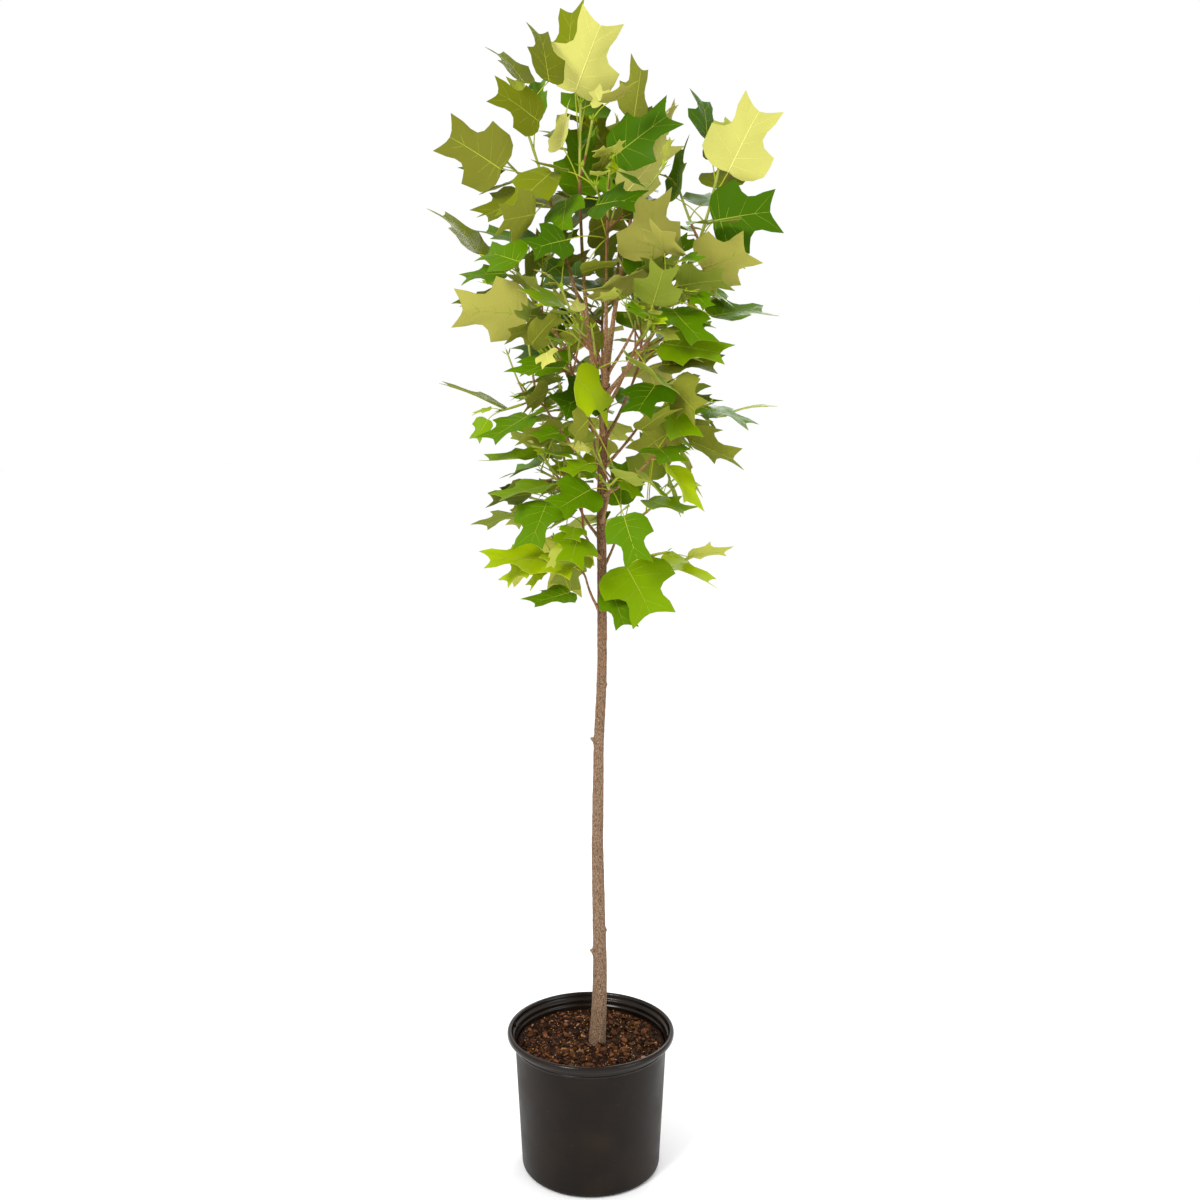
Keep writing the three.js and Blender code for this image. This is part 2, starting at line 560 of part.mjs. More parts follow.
// Boughs
function boughCourse(bough) {
  const start = new THREE.Vector3(trunkAt(bough.height).x, 0, bough.height);
  const out = heading(bough.heading).multiplyScalar(bough.reach);
  const end = start.clone().add(out).addScaledVector(UP, bough.rise);
  const bendSpot = start.clone().addScaledVector(out, 0.5 + bough.bend / 2);
  bendSpot.addScaledVector(UP, bough.rise * (0.5 - bough.bend / 2));
  return new THREE.QuadraticBezierCurve3(start, bendSpot, end);
}

function boughSolid(bough, grownTrunk) {
  const centres = boughCourse(bough).getPoints(BOUGH_RINGS);
  const radii = centres.map((centre, i) => mix(bough.base, bough.tip, i / BOUGH_RINGS) / 2);
  return wholeBody(limbSolid(centres, radii, BOUGH_SIDES).subtract(grownTrunk));
}

// Space that is taken: a cell and the cells round it belong to one owner, or to several
const nearby = new Map();
const taken = { blade: new Set(), wood: new Set() };

const cellIndex = (value) => Math.floor(value / CELL) + CELL_OFFSET;
const cellKey = (i, j, k) => (i * CELL_SPAN + j) * CELL_SPAN + k;
const cellOf = (spot) => cellKey(cellIndex(spot.x), cellIndex(spot.y), cellIndex(spot.z));

function claim(owner, kind, spots) {
  for (const spot of spots) {
    const [i, j, k] = [cellIndex(spot.x), cellIndex(spot.y), cellIndex(spot.z)];
    taken[kind].add(cellKey(i, j, k));
    for (const di of [-1, 0, 1]) {
      for (const dj of [-1, 0, 1]) {
        for (const dk of [-1, 0, 1]) {
          const key = cellKey(i + di, j + dj, k + dk);
          const holder = nearby.get(key);
          nearby.set(key, holder === undefined || holder === owner ? owner : 'several');
        }
      }
    }
  }
}

function isClear(owner, spots) {
  return spots.every((spot) => {
    const holder = nearby.get(cellOf(spot));
    return holder === undefined || holder === owner;
  });
}

const isFreeOf = (kind, spots) => spots.every((spot) => !taken[kind].has(cellOf(spot)));

function crownRadius(height) {
  const above = CROWN_PROFILE.findIndex((ring) => ring.height >= height);
  if (above < 1) {
    return 0;
  }
  const [last, next] = [CROWN_PROFILE[above - 1], CROWN_PROFILE[above]];
  return mix(last.radius, next.radius, (height - last.height) / (next.height - last.height));
}

const isInCrown = (spots) => spots.every(({ x, y, z }) => Math.hypot(x - CROWN_MIDDLE, y) < crownRadius(z));

// Spots along a line and over a triangle, closer together than a cell
function lineSpots(from, to) {
  const steps = Math.ceil(from.distanceTo(to) / SAMPLE);
  return Array.from({ length: steps + 1 }, (_, i) => from.clone().lerp(to, i / steps));
}

function triangleSpots(a, b, c) {
  const steps = Math.ceil(Math.max(a.distanceTo(b), b.distanceTo(c), c.distanceTo(a)) / SAMPLE);
  const spots = [];
  for (let i = 0; i <= steps; i += 1) {
    for (let j = 0; j <= steps - i; j += 1) {
      const spot = a.clone().multiplyScalar(1 - (i + j) / steps);
      spots.push(spot.addScaledVector(b, i / steps).addScaledVector(c, j / steps));
    }
  }
  return spots;
}

function limbSpots(centres, radii) {
  const spots = [];
  for (let i = 1; i < centres.length; i += 1) {
    for (const centre of lineSpots(centres[i - 1], centres[i])) {
      spots.push(centre);
      for (let turn = 0; turn < 360; turn += LIMB_SPOT_TURN) {
        spots.push(centre.clone().addScaledVector(heading(turn), radii[i]));
      }
    }
  }
  return spots;
}

// A repeatable run of numbers from 0 to 1
function makeDice(seed) {
  let state = seed * DICE_SEED_STEP;
  return () => {
    state = (state * DICE_FACTOR) % DICE_RANGE;
    return state / DICE_RANGE;
  };
}

// Blade: foot and notch on the midrib, then shoulder, lobe, bay and upper lobe on each side
function bladeCorners({ foot, along, face, long, wide }) {
  const across = along.clone().cross(face);
  const corner = (out, run) => {
    const spot = foot.clone().addScaledVector(across, out).addScaledVector(along, run * long);
    return spot.addScaledVector(face, Math.abs(out) * BLADE_FOLD);
  };
  const right = BLADE_HALF.map((spot) => corner(spot.across * wide * 0.5, spot.along));
  const left = BLADE_HALF.map((spot) => corner(spot.across * wide * -0.5, spot.along));
  return [corner(0, 0), corner(0, BLADE_NOTCH), ...right, ...left];
}

const BLADE_TRIANGLES = [
  [0, 2, 3],
  [0, 3, 4],
  [0, 4, 1],
  [4, 5, 1],
  [0, 7, 6],
  [0, 8, 7],
  [0, 1, 8],
  [8, 1, 9],
];
const BLADE_EDGE = [2, 3, 4, 5, 1, 9, 8, 7, 6];

// The three corners of a petiole's section, square to the way that it runs
function petioleSection(centre, way, across, radius) {
  const side = across.clone().addScaledVector(way, -across.dot(way)).normalize();
  const face = side.clone().cross(way);
  return [
    centre.clone().addScaledVector(side, radius).addScaledVector(face, radius * PETIOLE_FLATNESS),
    centre.clone().addScaledVector(side, -radius).addScaledVector(face, radius * PETIOLE_FLATNESS),
    centre.clone().addScaledVector(face, -radius),
  ];
}

// A leaf as one closed body: a three-sided petiole that runs into the foot of a folded plate
function leafSolid(leaf) {
  const across = leaf.along.clone().cross(leaf.face);
  const petioleWay = leaf.foot.clone().sub(leaf.node).normalize();
  const turnWay = petioleWay.clone().add(leaf.along).normalize();
  const half = leaf.face.clone().multiplyScalar(BLADE_THICKNESS / 2);
  const plate = bladeCorners(leaf).slice(1);
  const corners = [
    ...petioleSection(leaf.node, petioleWay, across, PETIOLE_RADIUS),
    ...petioleSection(leaf.foot, turnWay, across, PETIOLE_RADIUS),
    ...plate.map((spot) => spot.clone().add(half)),
    ...plate.map((spot) => spot.clone().sub(half)),
  ];
  const [footRight, footLeft, footUnder, upper, under] = [3, 4, 5, 6, 6 + plate.length];
  const index = [0, 1, 2, 1, 0, footRight, 1, footRight, footLeft];
  index.push(0, 2, footUnder, 0, footUnder, footRight, 2, 1, footLeft, 2, footLeft, footUnder);
  index.push(footLeft, footRight, upper);
  BLADE_TRIANGLES.forEach(([a, b, c], i) => {
    const isRight = i < BLADE_TRIANGLES.length / 2;
    const topFoot = isRight ? footRight : footLeft;
    const top = (corner) => (corner === 0 ? topFoot : upper + corner - 1);
    const bottom = (corner) => (corner === 0 ? footUnder : under + corner - 1);
    index.push(top(a), top(b), top(c), bottom(a), bottom(c), bottom(b));
  });
  const edge = BLADE_EDGE.map((corner) => corner - 1);
  for (let i = 1; i < edge.length; i += 1) {
    const [a, b] = [edge[i - 1], edge[i]];
    index.push(under + a, under + b, upper + b, under + a, upper + b, upper + a);
  }
  const [first, last] = [edge[0], edge[edge.length - 1]];
  index.push(footUnder, under + first, upper + first, footUnder, upper + first, footRight);
  index.push(under + last, footUnder, footLeft, under + last, footLeft, upper + last);
  const geometry = new THREE.BufferGeometry().setFromPoints(corners);
  geometry.setIndex(index);
  return toSolid(geometry);
}

// A leaf fits where its blade and petiole keep clear of other owners and of its own mass
function leafFits(mass, leaf, ruled) {
  const corners = bladeCorners(leaf);
  const blade = BLADE_TRIANGLES.flatMap(([a, b, c]) => triangleSpots(corners[a], corners[b], corners[c]));
  const petiole = lineSpots(leaf.node, leaf.foot);
  const openPetiole = petiole.filter((spot) => spot.distanceTo(leaf.node) > CLEAR_OF_FOOT);
  if (!isClear(mass.name, blade) || !isClear(mass.name, openPetiole)) {
    return false;
  }
  if (!isFreeOf('blade', [...blade, ...openPetiole]) || !isFreeOf('wood', blade)) {
    return false;
  }
  if (ruled && !isInCrown(blade)) {
    return false;
  }
  claim(mass.name, 'blade', blade);
  claim(mass.name, 'wood', petiole);
  return true;
}

// Shoots
function shootCourse(start, startWay, end) {
  const bendSpot = start.clone().addScaledVector(startWay, start.distanceTo(end) * SHOOT_BEND);
  return new THREE.QuadraticBezierCurve3(start, bendSpot, end);
}

function wayOut(course, share, turn) {
  const along = course.getTangent(share);
  const side = along.clone().cross(UP);
  if (side.length() < NEAR_UPRIGHT) {
    side.set(1, 0, 0);
  }
  side.normalize();
  const other = side.clone().cross(along);
  const out = side.multiplyScalar(Math.cos(radians(turn))).addScaledVector(other, Math.sin(radians(turn)));
  return { along, out };
}

function courseSpots(course) {
  const centres = course.getPoints(SHOOT_STEPS);
  return centres.slice(1).flatMap((centre, i) => lineSpots(centres[i], centre));
}

function growMainShoot(mass) {
  const bough = BOUGHS.find(({ name }) => name === mass.bough);
  const limb = boughCourse(bough);
  const way = limb.getTangent(1);
  const start = limb.getPoint(1).addScaledVector(way, SHOOT_CLEARANCE);
  const end = start.clone().addScaledVector(heading(mass.heading), mass.reach);
  end.addScaledVector(UP, mass.rise);
  const course = shootCourse(start, way, end);
  claim(mass.name, 'wood', courseSpots(course));
  return { course, base: bough.tip / 2, leaves: mass.leaves };
}

function growFork(mass, main, number, dice) {
  const share = mass.forks > 1 ? within(FORK_PLACES, number / (mass.forks - 1)) : LONE_FORK_PLACE;
  for (let tried = 0; tried < TRIES; tried += 1) {
    const { along, out } = wayOut(main.course, share, 360 * dice());
    const length = FORK_LENGTH * within(FORK_SPREAD, dice());
    const way = along.multiplyScalar(Math.cos(radians(FORK_SPLIT)));
    way.addScaledVector(out, Math.sin(radians(FORK_SPLIT)));
    const start = main.course.getPoint(share);
    const end = start.clone().addScaledVector(way, length).addScaledVector(UP, length * FORK_LIFT);
    const course = shootCourse(start, way, end);
    const open = courseSpots(course).filter((spot) => spot.distanceTo(start) > CLEAR_OF_FOOT);
    if (isClear(mass.name, open) && isFreeOf('wood', open) && isInCrown(open)) {
      claim(mass.name, 'wood', open);
      return { course, base: FORK_RADIUS, leaves: FORK_LEAVES };
    }
  }
  return null;
}

// Leaves of the rule: they turn round the shoot, closer and smaller towards its tip
function growLeaf(mass, shoot, number, firstTurn, dice) {
  const share = within([FIRST_NODE, 1], (number / (shoot.leaves - 1)) ** NODE_CROWDING);
  for (let tried = 0; tried < TRIES; tried += 1) {
    const spread = within(TURN_SPREAD, dice());
    const turn = firstTurn + number * TURN_PER_LEAF + tried * TURN_RETRY + spread;
    const { along, out } = wayOut(shoot.course, share, turn);
    const split = radians(within(SPLIT_ALONG, share) * within(SPLIT_SPREAD, dice()));
    const petioleWay = along.multiplyScalar(Math.cos(split)).addScaledVector(out, Math.sin(split));
    const long = mass.size * within(SIZE_ALONG, share * share) * within(SIZE_SPREAD, dice());
    const reach = long * within(PETIOLE_SPREAD, dice()) * (1 - tried * PETIOLE_RETRY);
    const node = shoot.course.getPoint(share);
    const foot = node.clone().addScaledVector(petioleWay, reach);
    const hang = mass.droop * within(DROOP_SPREAD, dice());
    const bladeWay = petioleWay.clone().addScaledVector(UP, -hang).normalize();
    const face = UP.clone().addScaledVector(bladeWay, -UP.dot(bladeWay)).normalize();
    face.applyAxisAngle(bladeWay, radians(within(ROLL_SPREAD, dice())));
    const leaf = { node, foot, along: bladeWay, face, long, wide: long * within(WIDTH_SPREAD, dice()) };
    if (leafFits(mass, leaf, true)) {
      return leaf;
    }
  }
  return null;
}

// Edge leaves: placed on the line of sight from the eye point, at a depth
function onSightLine([x, z], depth) {
  const share = (depth - EYE.y) / -EYE.y;
  return new THREE.Vector3(mix(EYE.x, x, share), depth, mix(EYE.z, z, share));
}

function nearestNode(shoot, foot, wanted) {
  const shares = Array.from({ length: NODE_STEPS + 1 }, (_, i) => within(NODE_PLACES, i / NODE_STEPS));
  const costs = shares.map((share) => {
    const node = shoot.course.getPoint(share);
    return Math.abs(node.distanceTo(foot) - wanted) + Math.max(node.z - foot.z, 0) * NODE_ABOVE_COST;
  });
  return shoot.course.getPoint(shares[costs.indexOf(Math.min(...costs))]);
}

function growEdgeLeaf(mass, shoot, edge) {
  const seenLength = Math.hypot(edge.end[0] - edge.foot[0], edge.end[1] - edge.foot[1]);
  const run = edge.away * Math.sqrt(Math.max(edge.long ** 2 - seenLength ** 2, 0));
  for (const shift of DEPTH_SHIFTS) {
    const foot = onSightLine(edge.foot, edge.depth + shift);
    const end = onSightLine(edge.end, edge.depth + shift + run);
    const along = end.clone().sub(foot).normalize();
    const toEye = EYE.clone().sub(foot).normalize();
    const open = toEye.clone().addScaledVector(along, -toEye.dot(along)).normalize();
    const raised = along.clone().cross(open);
    if (raised.z < 0) {
      raised.negate();
    }
    const tilt = radians(edge.tilt);
    const face = open.multiplyScalar(Math.cos(tilt)).addScaledVector(raised, Math.sin(tilt));
    const node = nearestNode(shoot, foot, edge.long * EDGE_PETIOLE);
    const leaf = { node, foot, along, face, long: foot.distanceTo(end), wide: edge.wide };
    if (leafFits(mass, leaf, false)) {
      return leaf;
    }
  }
  return null;
}

// Growth runs in this order everywhere: limbs, shoots, side twigs, edge leaves, other leaves
function growCrown() {
  for (let i = 1; i < TRUNK_COURSE.length; i += 1) {
    const ends = [TRUNK_COURSE[i - 1], TRUNK_COURSE[i]];
    const centres = ends.map(({ x, height }) => new THREE.Vector3(x, 0, height));
    claim('trunk', 'wood', limbSpots(centres, ends.map(({ diameter }) => diameter / 2)));
  }
  for (const bough of BOUGHS) {
    const centres = boughCourse(bough).getPoints(BOUGH_RINGS);
    claim(bough.name, 'wood', limbSpots(centres, centres.map(() => bough.base / 2)));
  }
  const grown = MASSES.map((mass) => {
    return { mass, dice: makeDice(mass.seed), shoots: [growMainShoot(mass)], leaves: [] };
  });
  for (const { mass, dice, shoots } of grown) {
    for (let number = 0; number < mass.forks; number += 1) {
      shoots.push(growFork(mass, shoots[0], number, dice));
    }
  }
  for (const edge of EDGE_LEAVES) {
    const { mass, shoots, leaves } = grown.find((entry) => entry.mass.name === edge.mass);
    leaves.push(growEdgeLeaf(mass, shoots[0], edge));
  }
  const mostLeaves = Math.max(...MASSES.map(({ leaves }) => leaves));
  for (let number = 0; number < mostLeaves; number += 1) {
    for (const { mass, dice, shoots, leaves } of grown) {
      for (const shoot of shoots.filter((one) => one && number < one.leaves)) {
        leaves.push(growLeaf(mass, shoot, number, mass.seed * TURN_RETRY, dice));
      }
    }
  }
  return grown;
}

function massSolid({ shoots, leaves }) {
  const limbs = shoots.filter(Boolean).map(({ course, base }) => {
    const centres = course.getPoints(SHOOT_RINGS);
    const radii = centres.map((centre, i) => mix(base, SHOOT_TIP_RADIUS, i / SHOOT_RINGS));
    return limbSolid(centres, radii, TWIG_SIDES);
  });
  const blades = leaves.filter(Boolean).map(leafSolid);
  return wholeBody([...limbs, ...blades].reduce((joined, piece) => joined.add(piece)));
}

// The plant
const plant = new THREE.Group();
plant.name = 'tulip_poplar';
plant.add(toMesh('pot', potSolid(), potPlastic));
plant.add(toMesh('bark_mix', soilSolid(), barkMix));
plant.add(toMesh('trunk', knobbedTrunk(), greyBark));
const grownTrunk = trunkSolid(GAP / Math.cos(Math.PI / TRUNK_SIDES));
for (const bough of BOUGHS) {
  plant.add(toMesh(bough.name, boughSolid(bough, grownTrunk), youngBark));
}
for (const grown of growCrown()) {
  const foliage = toMesh(grown.mass.name, massSolid(grown), midGreen);
  foliage.userData.leaves = grown.leaves.filter(Boolean).length;
  foliage.userData.skipped = grown.leaves.length - foliage.userData.leaves;
  plant.add(foliage);
}

export default plant;
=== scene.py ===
# %% [markdown]
# A young tulip poplar, grown by a nursery as a slender standard tree in a black plastic pot of
# bark mix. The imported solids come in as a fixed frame. The pot, the bark mix, the bark and every
# leaf are then modelled over them at real size, with the pot standing at the origin. Lengths are
# written in millimetres and go into the scene in metres.

# %% Load the frame
import bpy
import math
import numpy as np
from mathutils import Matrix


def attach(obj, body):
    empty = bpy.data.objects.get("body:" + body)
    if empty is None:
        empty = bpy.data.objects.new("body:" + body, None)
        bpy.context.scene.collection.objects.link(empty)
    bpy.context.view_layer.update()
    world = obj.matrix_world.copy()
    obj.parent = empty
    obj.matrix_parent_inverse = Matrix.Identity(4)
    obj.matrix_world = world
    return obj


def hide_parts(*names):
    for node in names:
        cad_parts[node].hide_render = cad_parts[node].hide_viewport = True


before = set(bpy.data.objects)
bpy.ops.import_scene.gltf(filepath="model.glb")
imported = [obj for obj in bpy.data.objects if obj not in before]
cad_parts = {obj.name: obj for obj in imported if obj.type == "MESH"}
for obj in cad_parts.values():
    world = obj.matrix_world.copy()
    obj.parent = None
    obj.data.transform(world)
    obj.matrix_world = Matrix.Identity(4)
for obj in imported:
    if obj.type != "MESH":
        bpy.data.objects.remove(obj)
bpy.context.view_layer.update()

MM = 0.001

# %% [markdown]
# The photograph was taken from a little above the middle of the crown, 2.5 m away, looking down
# by about eleven degrees. Fitting the ellipses of the pot's rim and foot gives that, and a 45 mm
# lens then frames the whole tree as the photograph does.

# %% Camera
EYE = np.array([17.0, -2552.0, 1546.0])
LOOK_DOWN = 10.73
camera_data = bpy.data.cameras.new("camera")
camera_data.lens = 45
camera_data.sensor_width = 36
camera = bpy.data.objects.new("camera", camera_data)
camera.location = EYE * MM
camera.rotation_euler = (math.radians(90 - LOOK_DOWN), 0, 0)
bpy.context.scene.collection.objects.link(camera)
bpy.context.scene.camera = camera
print("camera at", EYE, "mm, looking down by", LOOK_DOWN, "degrees")

# %% [markdown]
# Colours are read off the photograph as sRGB hex values, and the shader wants them linear.
# A node is added with its settings and links in one call, so that each material reads as a short
# recipe. A node given as an input stands for its first output. Standard view keeps the greens as
# they are, where the filmic ones would grey them.

# %% Colours and nodes
bpy.context.scene.view_settings.view_transform = "Standard"


def linear(code):
    parts = [int(code[i:i + 2], 16) / 255 for i in (1, 3, 5)]
    return [v / 12.92 if v <= 0.04045 else ((v + 0.055) / 1.055) ** 2.4 for v in parts] + [1]


def socket_of(source):
    return source.outputs[0] if isinstance(source, bpy.types.Node) else source


def add_node(material, kind, inputs=None, **settings):
    node = material.node_tree.nodes.new("ShaderNode" + kind)
    for name, value in settings.items():
        setattr(node, name, value)
    for name, value in (inputs or {}).items():
        if isinstance(value, (bpy.types.NodeSocket, bpy.types.Node)):
            material.node_tree.links.new(socket_of(value), node.inputs[name])
        else:
            node.inputs[name].default_value = value
    return node


def shader_of(material):
    return material.node_tree.nodes["Principled BSDF"]


def new_material(name, colour, roughness, ior=1.5, specular=0.5):
    material = bpy.data.materials.new(name)
    material.use_nodes = True
    inputs = shader_of(material).inputs
    inputs["Base Color"].default_value = linear(colour)
    inputs["Roughness"].default_value = roughness
    inputs["IOR"].default_value = ior
    inputs["Specular IOR Level"].default_value = specular
    return material


def link_input(material, name, source):
    material.node_tree.links.new(socket_of(source), shader_of(material).inputs[name])


def paint(piece, *materials):
    piece.data.materials.clear()
    for material in materials:
        piece.data.materials.append(material)


def add_grain(material, scale, strength, distance, detail=2):
    """A fine unevenness all over the surface, as many cells a metre as scale says."""
    place = add_node(material, "TexCoord").outputs["Object"]
    grain = add_node(material, "TexNoise", {"Vector": place, "Scale": scale, "Detail": detail})
    relief = add_node(material, "Bump",
                      {"Strength": strength, "Distance": distance, "Height": grain})
    link_input(material, "Normal", relief)


# %% [markdown]
# A studio shot on white: a wide soft light from the front left and above, a weaker one on the
# right and one behind to lift the edges of the leaves, over a plain floor. The room is as white
# as the photograph's ground, so that light comes from all round as well.

# %% Floor and room
bpy.ops.object.select_all(action="DESELECT")
bpy.ops.mesh.primitive_circle_add(vertices=96, radius=14, fill_type="NGON")
floor = bpy.context.object
floor.name = "studio_floor"
floor_paint = new_material("matt_white_floor_paint", "#ffffff", 0.9)
floor_grain = add_node(floor_paint, "TexNoise", {"Scale": 9})
floor_bump = add_node(floor_paint, "Bump",
                      {"Strength": 0.05, "Distance": 0.001, "Height": floor_grain})
link_input(floor_paint, "Normal", floor_bump)
paint(floor, floor_paint)

world = bpy.data.worlds.new("studio")
world.use_nodes = True
world.node_tree.nodes["Background"].inputs["Color"].default_value = linear("#ffffff")
world.node_tree.nodes["Background"].inputs["Strength"].default_value = 1
bpy.context.scene.world = world

# %% Soft lights
CROWN_CENTRE = (0.02, 0, 1.5)


def soft_light(name, place, size, watts):
    """A round area light that points at the middle of the crown."""
    data = bpy.data.lights.new(name, "AREA")
    data.shape = "DISK"
    data.size = size
    data.energy = watts
    lamp = bpy.data.objects.new(name, data)
    lamp.location = place
    way = [b - a for a, b in zip(place, CROWN_CENTRE)]
    flat = math.hypot(way[0], way[1])
    lamp.rotation_euler = (math.atan2(flat, -way[2]), 0, math.atan2(-way[0], way[1]))
    bpy.context.scene.collection.objects.link(lamp)


soft_light("key_light", (-1.8, -2.6, 3.0), 1.0, 84)
soft_light("fill_light", (2.4, -1.8, 1.2), 1.6, 18)
soft_light("back_light", (0.8, 2.4, 2.6), 1.4, 28)

# %% [markdown]
# Everything slender here, from a bough down to the vein of a leaf, is a tube that follows a
# course. One helper turns ring centres and radii into rows of points and faces, and a basket
# gathers many of them into the arrays of one joined mesh, which is far quicker than thousands of
# separate objects.

# %% Basket for a joined mesh
class Basket:
    def __init__(self):
        self.points, self.faces, self.kinds, self.count = [], [], [], 0

    def put(self, points, faces, kind=0):
        self.points.append(points)
        self.faces += [tuple(corner + self.count for corner in face) for face in faces]
        self.kinds += list(kind) if isinstance(kind, (list, tuple)) else [kind] * len(faces)
        self.count += len(points)

    def as_piece(self, name, materials, smooth=True, sharp=None):
        mesh = bpy.data.meshes.new(name)
        mesh.from_pydata((np.concatenate(self.points) * MM).tolist(), [], self.faces)
        for material in materials:
            mesh.materials.append(material)
        mesh.polygons.foreach_set("material_index", self.kinds)
        mesh.polygons.foreach_set("use_smooth", [smooth] * len(self.faces))
        if sharp:
            mesh.set_sharp_from_angle(angle=math.radians(sharp))
        mesh.update()
        piece = bpy.data.objects.new(name, mesh)
        bpy.context.scene.collection.objects.link(piece)
        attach(piece, "root")
        print(name, "faces", len(self.faces), "corners", self.count)
        return piece


# %% Tube along a course
def tube(centres, radii, sides, flatten=1):
    """Points and faces of a closed tube; flatten below 1 makes its section an oval."""
    centres = np.asarray(centres, float)
    ways = np.gradient(centres, axis=0)
    ways /= np.linalg.norm(ways, axis=1)[:, None]
    run = centres[-1] - centres[0]
    side = np.cross(run, (0, 0, 1))
    if np.linalg.norm(side) < 0.05 * np.linalg.norm(run):
        side = np.array([1.0, 0, 0])
    across = side - ways * (ways @ side)[:, None]
    across /= np.linalg.norm(across, axis=1)[:, None]
    other = np.cross(ways, across)
    turns = np.arange(sides) * (2 * math.pi / sides)
    ring = (across[:, None] * np.cos(turns)[None, :, None]
            + other[:, None] * (flatten * np.sin(turns))[None, :, None])
    points = centres[:, None] + ring * np.asarray(radii, float)[:, None, None]
    faces = []
    for i in range(len(centres) - 1):
        for j in range(sides):
            k = (j + 1) % sides
            faces.append((i * sides + j, i * sides + k, (i + 1) * sides + k, (i + 1) * sides + j))
    faces.append(tuple(range(sides - 1, -1, -1)))
    faces.append(tuple((len(centres) - 1) * sides + j for j in range(sides)))
    return points.reshape(-1, 3), faces


# %% [markdown]
# The pot is blow-moulded black polyethylene, one thin wall all over, with a rounded foot, a bead,
# a stepped collar and a rim rolled outwards that holds it stiff. It could be spun as a screw
# modifier's profile. Here a disc at the foot is extruded and resized ring by ring, up the
# outside, over the rim and down the inside, which closes the wall by itself.

# %% Corners, places and joining
def pick(piece, test):
    """Selects the corners that pass the test on their place in millimetres."""
    mesh = piece.data
    for parts in (mesh.polygons, mesh.edges):
        parts.foreach_set("select", [False] * len(parts))
    mesh.vertices.foreach_set("select", [bool(test(*(corner.co / MM))) for corner in mesh.vertices])


def places_of(piece):
    flat = np.empty(len(piece.data.vertices) * 3)
    piece.data.vertices.foreach_get("co", flat)
    return flat.reshape(-1, 3) / MM


def set_places(piece, places):
    piece.data.vertices.foreach_set("co", (places * MM).ravel())
    piece.data.update()


def work_on(piece):
    bpy.ops.object.select_all(action="DESELECT")
    piece.select_set(True)
    bpy.context.view_layer.objects.active = piece


def join_into(piece, others):
    work_on(piece)
    for other in others:
        other.select_set(True)
    bpy.ops.object.join()


# %% A body turned ring by ring
def turned_body(name, sides, profile):
    """A closed body from rows of radius and height, which starts and ends in a flat disc."""
    bpy.ops.object.select_all(action="DESELECT")
    radius, height = profile[0]
    bpy.ops.mesh.primitive_circle_add(vertices=sides, radius=radius * MM, fill_type="NGON",
                                      location=(0, 0, height * MM))
    piece = bpy.context.object
    piece.name = name
    bpy.ops.object.transform_apply(location=True, rotation=False, scale=False)
    bpy.ops.object.mode_set(mode="EDIT")
    bpy.ops.mesh.select_all(action="SELECT")
    for next_radius, next_height in profile[1:]:
        bpy.ops.mesh.extrude_region_move(
            TRANSFORM_OT_translate={"value": (0, 0, (next_height - height) * MM)})
        share = next_radius / radius
        bpy.ops.transform.resize(value=(share, share, 1), center_override=(0, 0, next_height * MM))
        radius, height = next_radius, next_height
    bpy.ops.mesh.select_all(action="SELECT")
    bpy.ops.mesh.normals_make_consistent(inside=False)
    bpy.ops.object.mode_set(mode="OBJECT")
    print(name, "rings", len(profile), "faces", len(piece.data.polygons))
    return piece


def finish_edges(piece, degrees):
    work_on(piece)
    bpy.ops.object.shade_smooth_by_angle(angle=math.radians(degrees))


# %% Pot wall and rolled rim
WALL = 2.2
POT_SIDES = 144
POT_CREASE = 38
BODY_RADIUS, BODY_FROM = 127, 9
FLARE, FLARE_HEIGHT = 11, 229
BODY_HEIGHTS = (238, 200, 160, 120, 80, 40, 12)
POT_FOOT = ((114, 0), (118, 0.2), (121.6, 1.2), (124.4, 3), (126.2, 5.6), (127, 9))
BEAD_AND_COLLAR = ((138.6, 238.6), (139.4, 239.6), (139.5, 240.6), (139.2, 241.6), (138.3, 242.3),
                   (138.2, 243), (140.6, 244.6), (141, 246), (141.6, 252.4), (142.6, 254.2))
ROLLED_RIM = ((144.5, 254.8), (147, 254.4), (149.5, 254.1), (151.2, 254.7), (152.2, 256.4),
              (152.5, 259), (152.3, 261.4), (151.6, 263.4), (150.4, 265), (148.8, 265.9),
              (147, 265.9), (145.4, 265.1), (144.3, 263.4), (143.7, 261), (143.2, 258),
              (142.3, 255.8), (140.4, 254.6), (139.3, 253.6))
INNER_STEPS = ((138.9, 252), (138.3, 247.5), (137.8, 245.4), (136.4, 244.2), (135.9, 242.8))
INNER_FOOT = ((124.2, 8), (122.4, 5.4), (119, 4.4), (112, 4.4))


def body_radius(height):
    return BODY_RADIUS + FLARE * (height - BODY_FROM) / FLARE_HEIGHT


outer_wall = [(body_radius(height), height) for height in reversed(BODY_HEIGHTS)]
inner_wall = [(body_radius(height) - WALL, height) for height in BODY_HEIGHTS]
pot_profile = [*POT_FOOT, *outer_wall, *BEAD_AND_COLLAR, *ROLLED_RIM, *INNER_STEPS, *inner_wall,
               *INNER_FOOT]
pot = turned_body("pot_wall", POT_SIDES, pot_profile)

# %% [markdown]
# Water leaves through four round holes in the base, cut with one boolean. On the inside of the
# rim stand four little lugs that keep stacked pots from jamming. The one at the back is what
# shows as a nick beside the trunk.

# %% Drain holes
HOLE_TURNS = (45, 135, 225, 315)
HOLE_RING = 92
HOLE_RADIUS = 10
HOLE_DEPTH = 20


def place_on_ring(turn, radius, height):
    angle = math.radians(turn)
    return radius * MM * math.cos(angle), radius * MM * math.sin(angle), height * MM


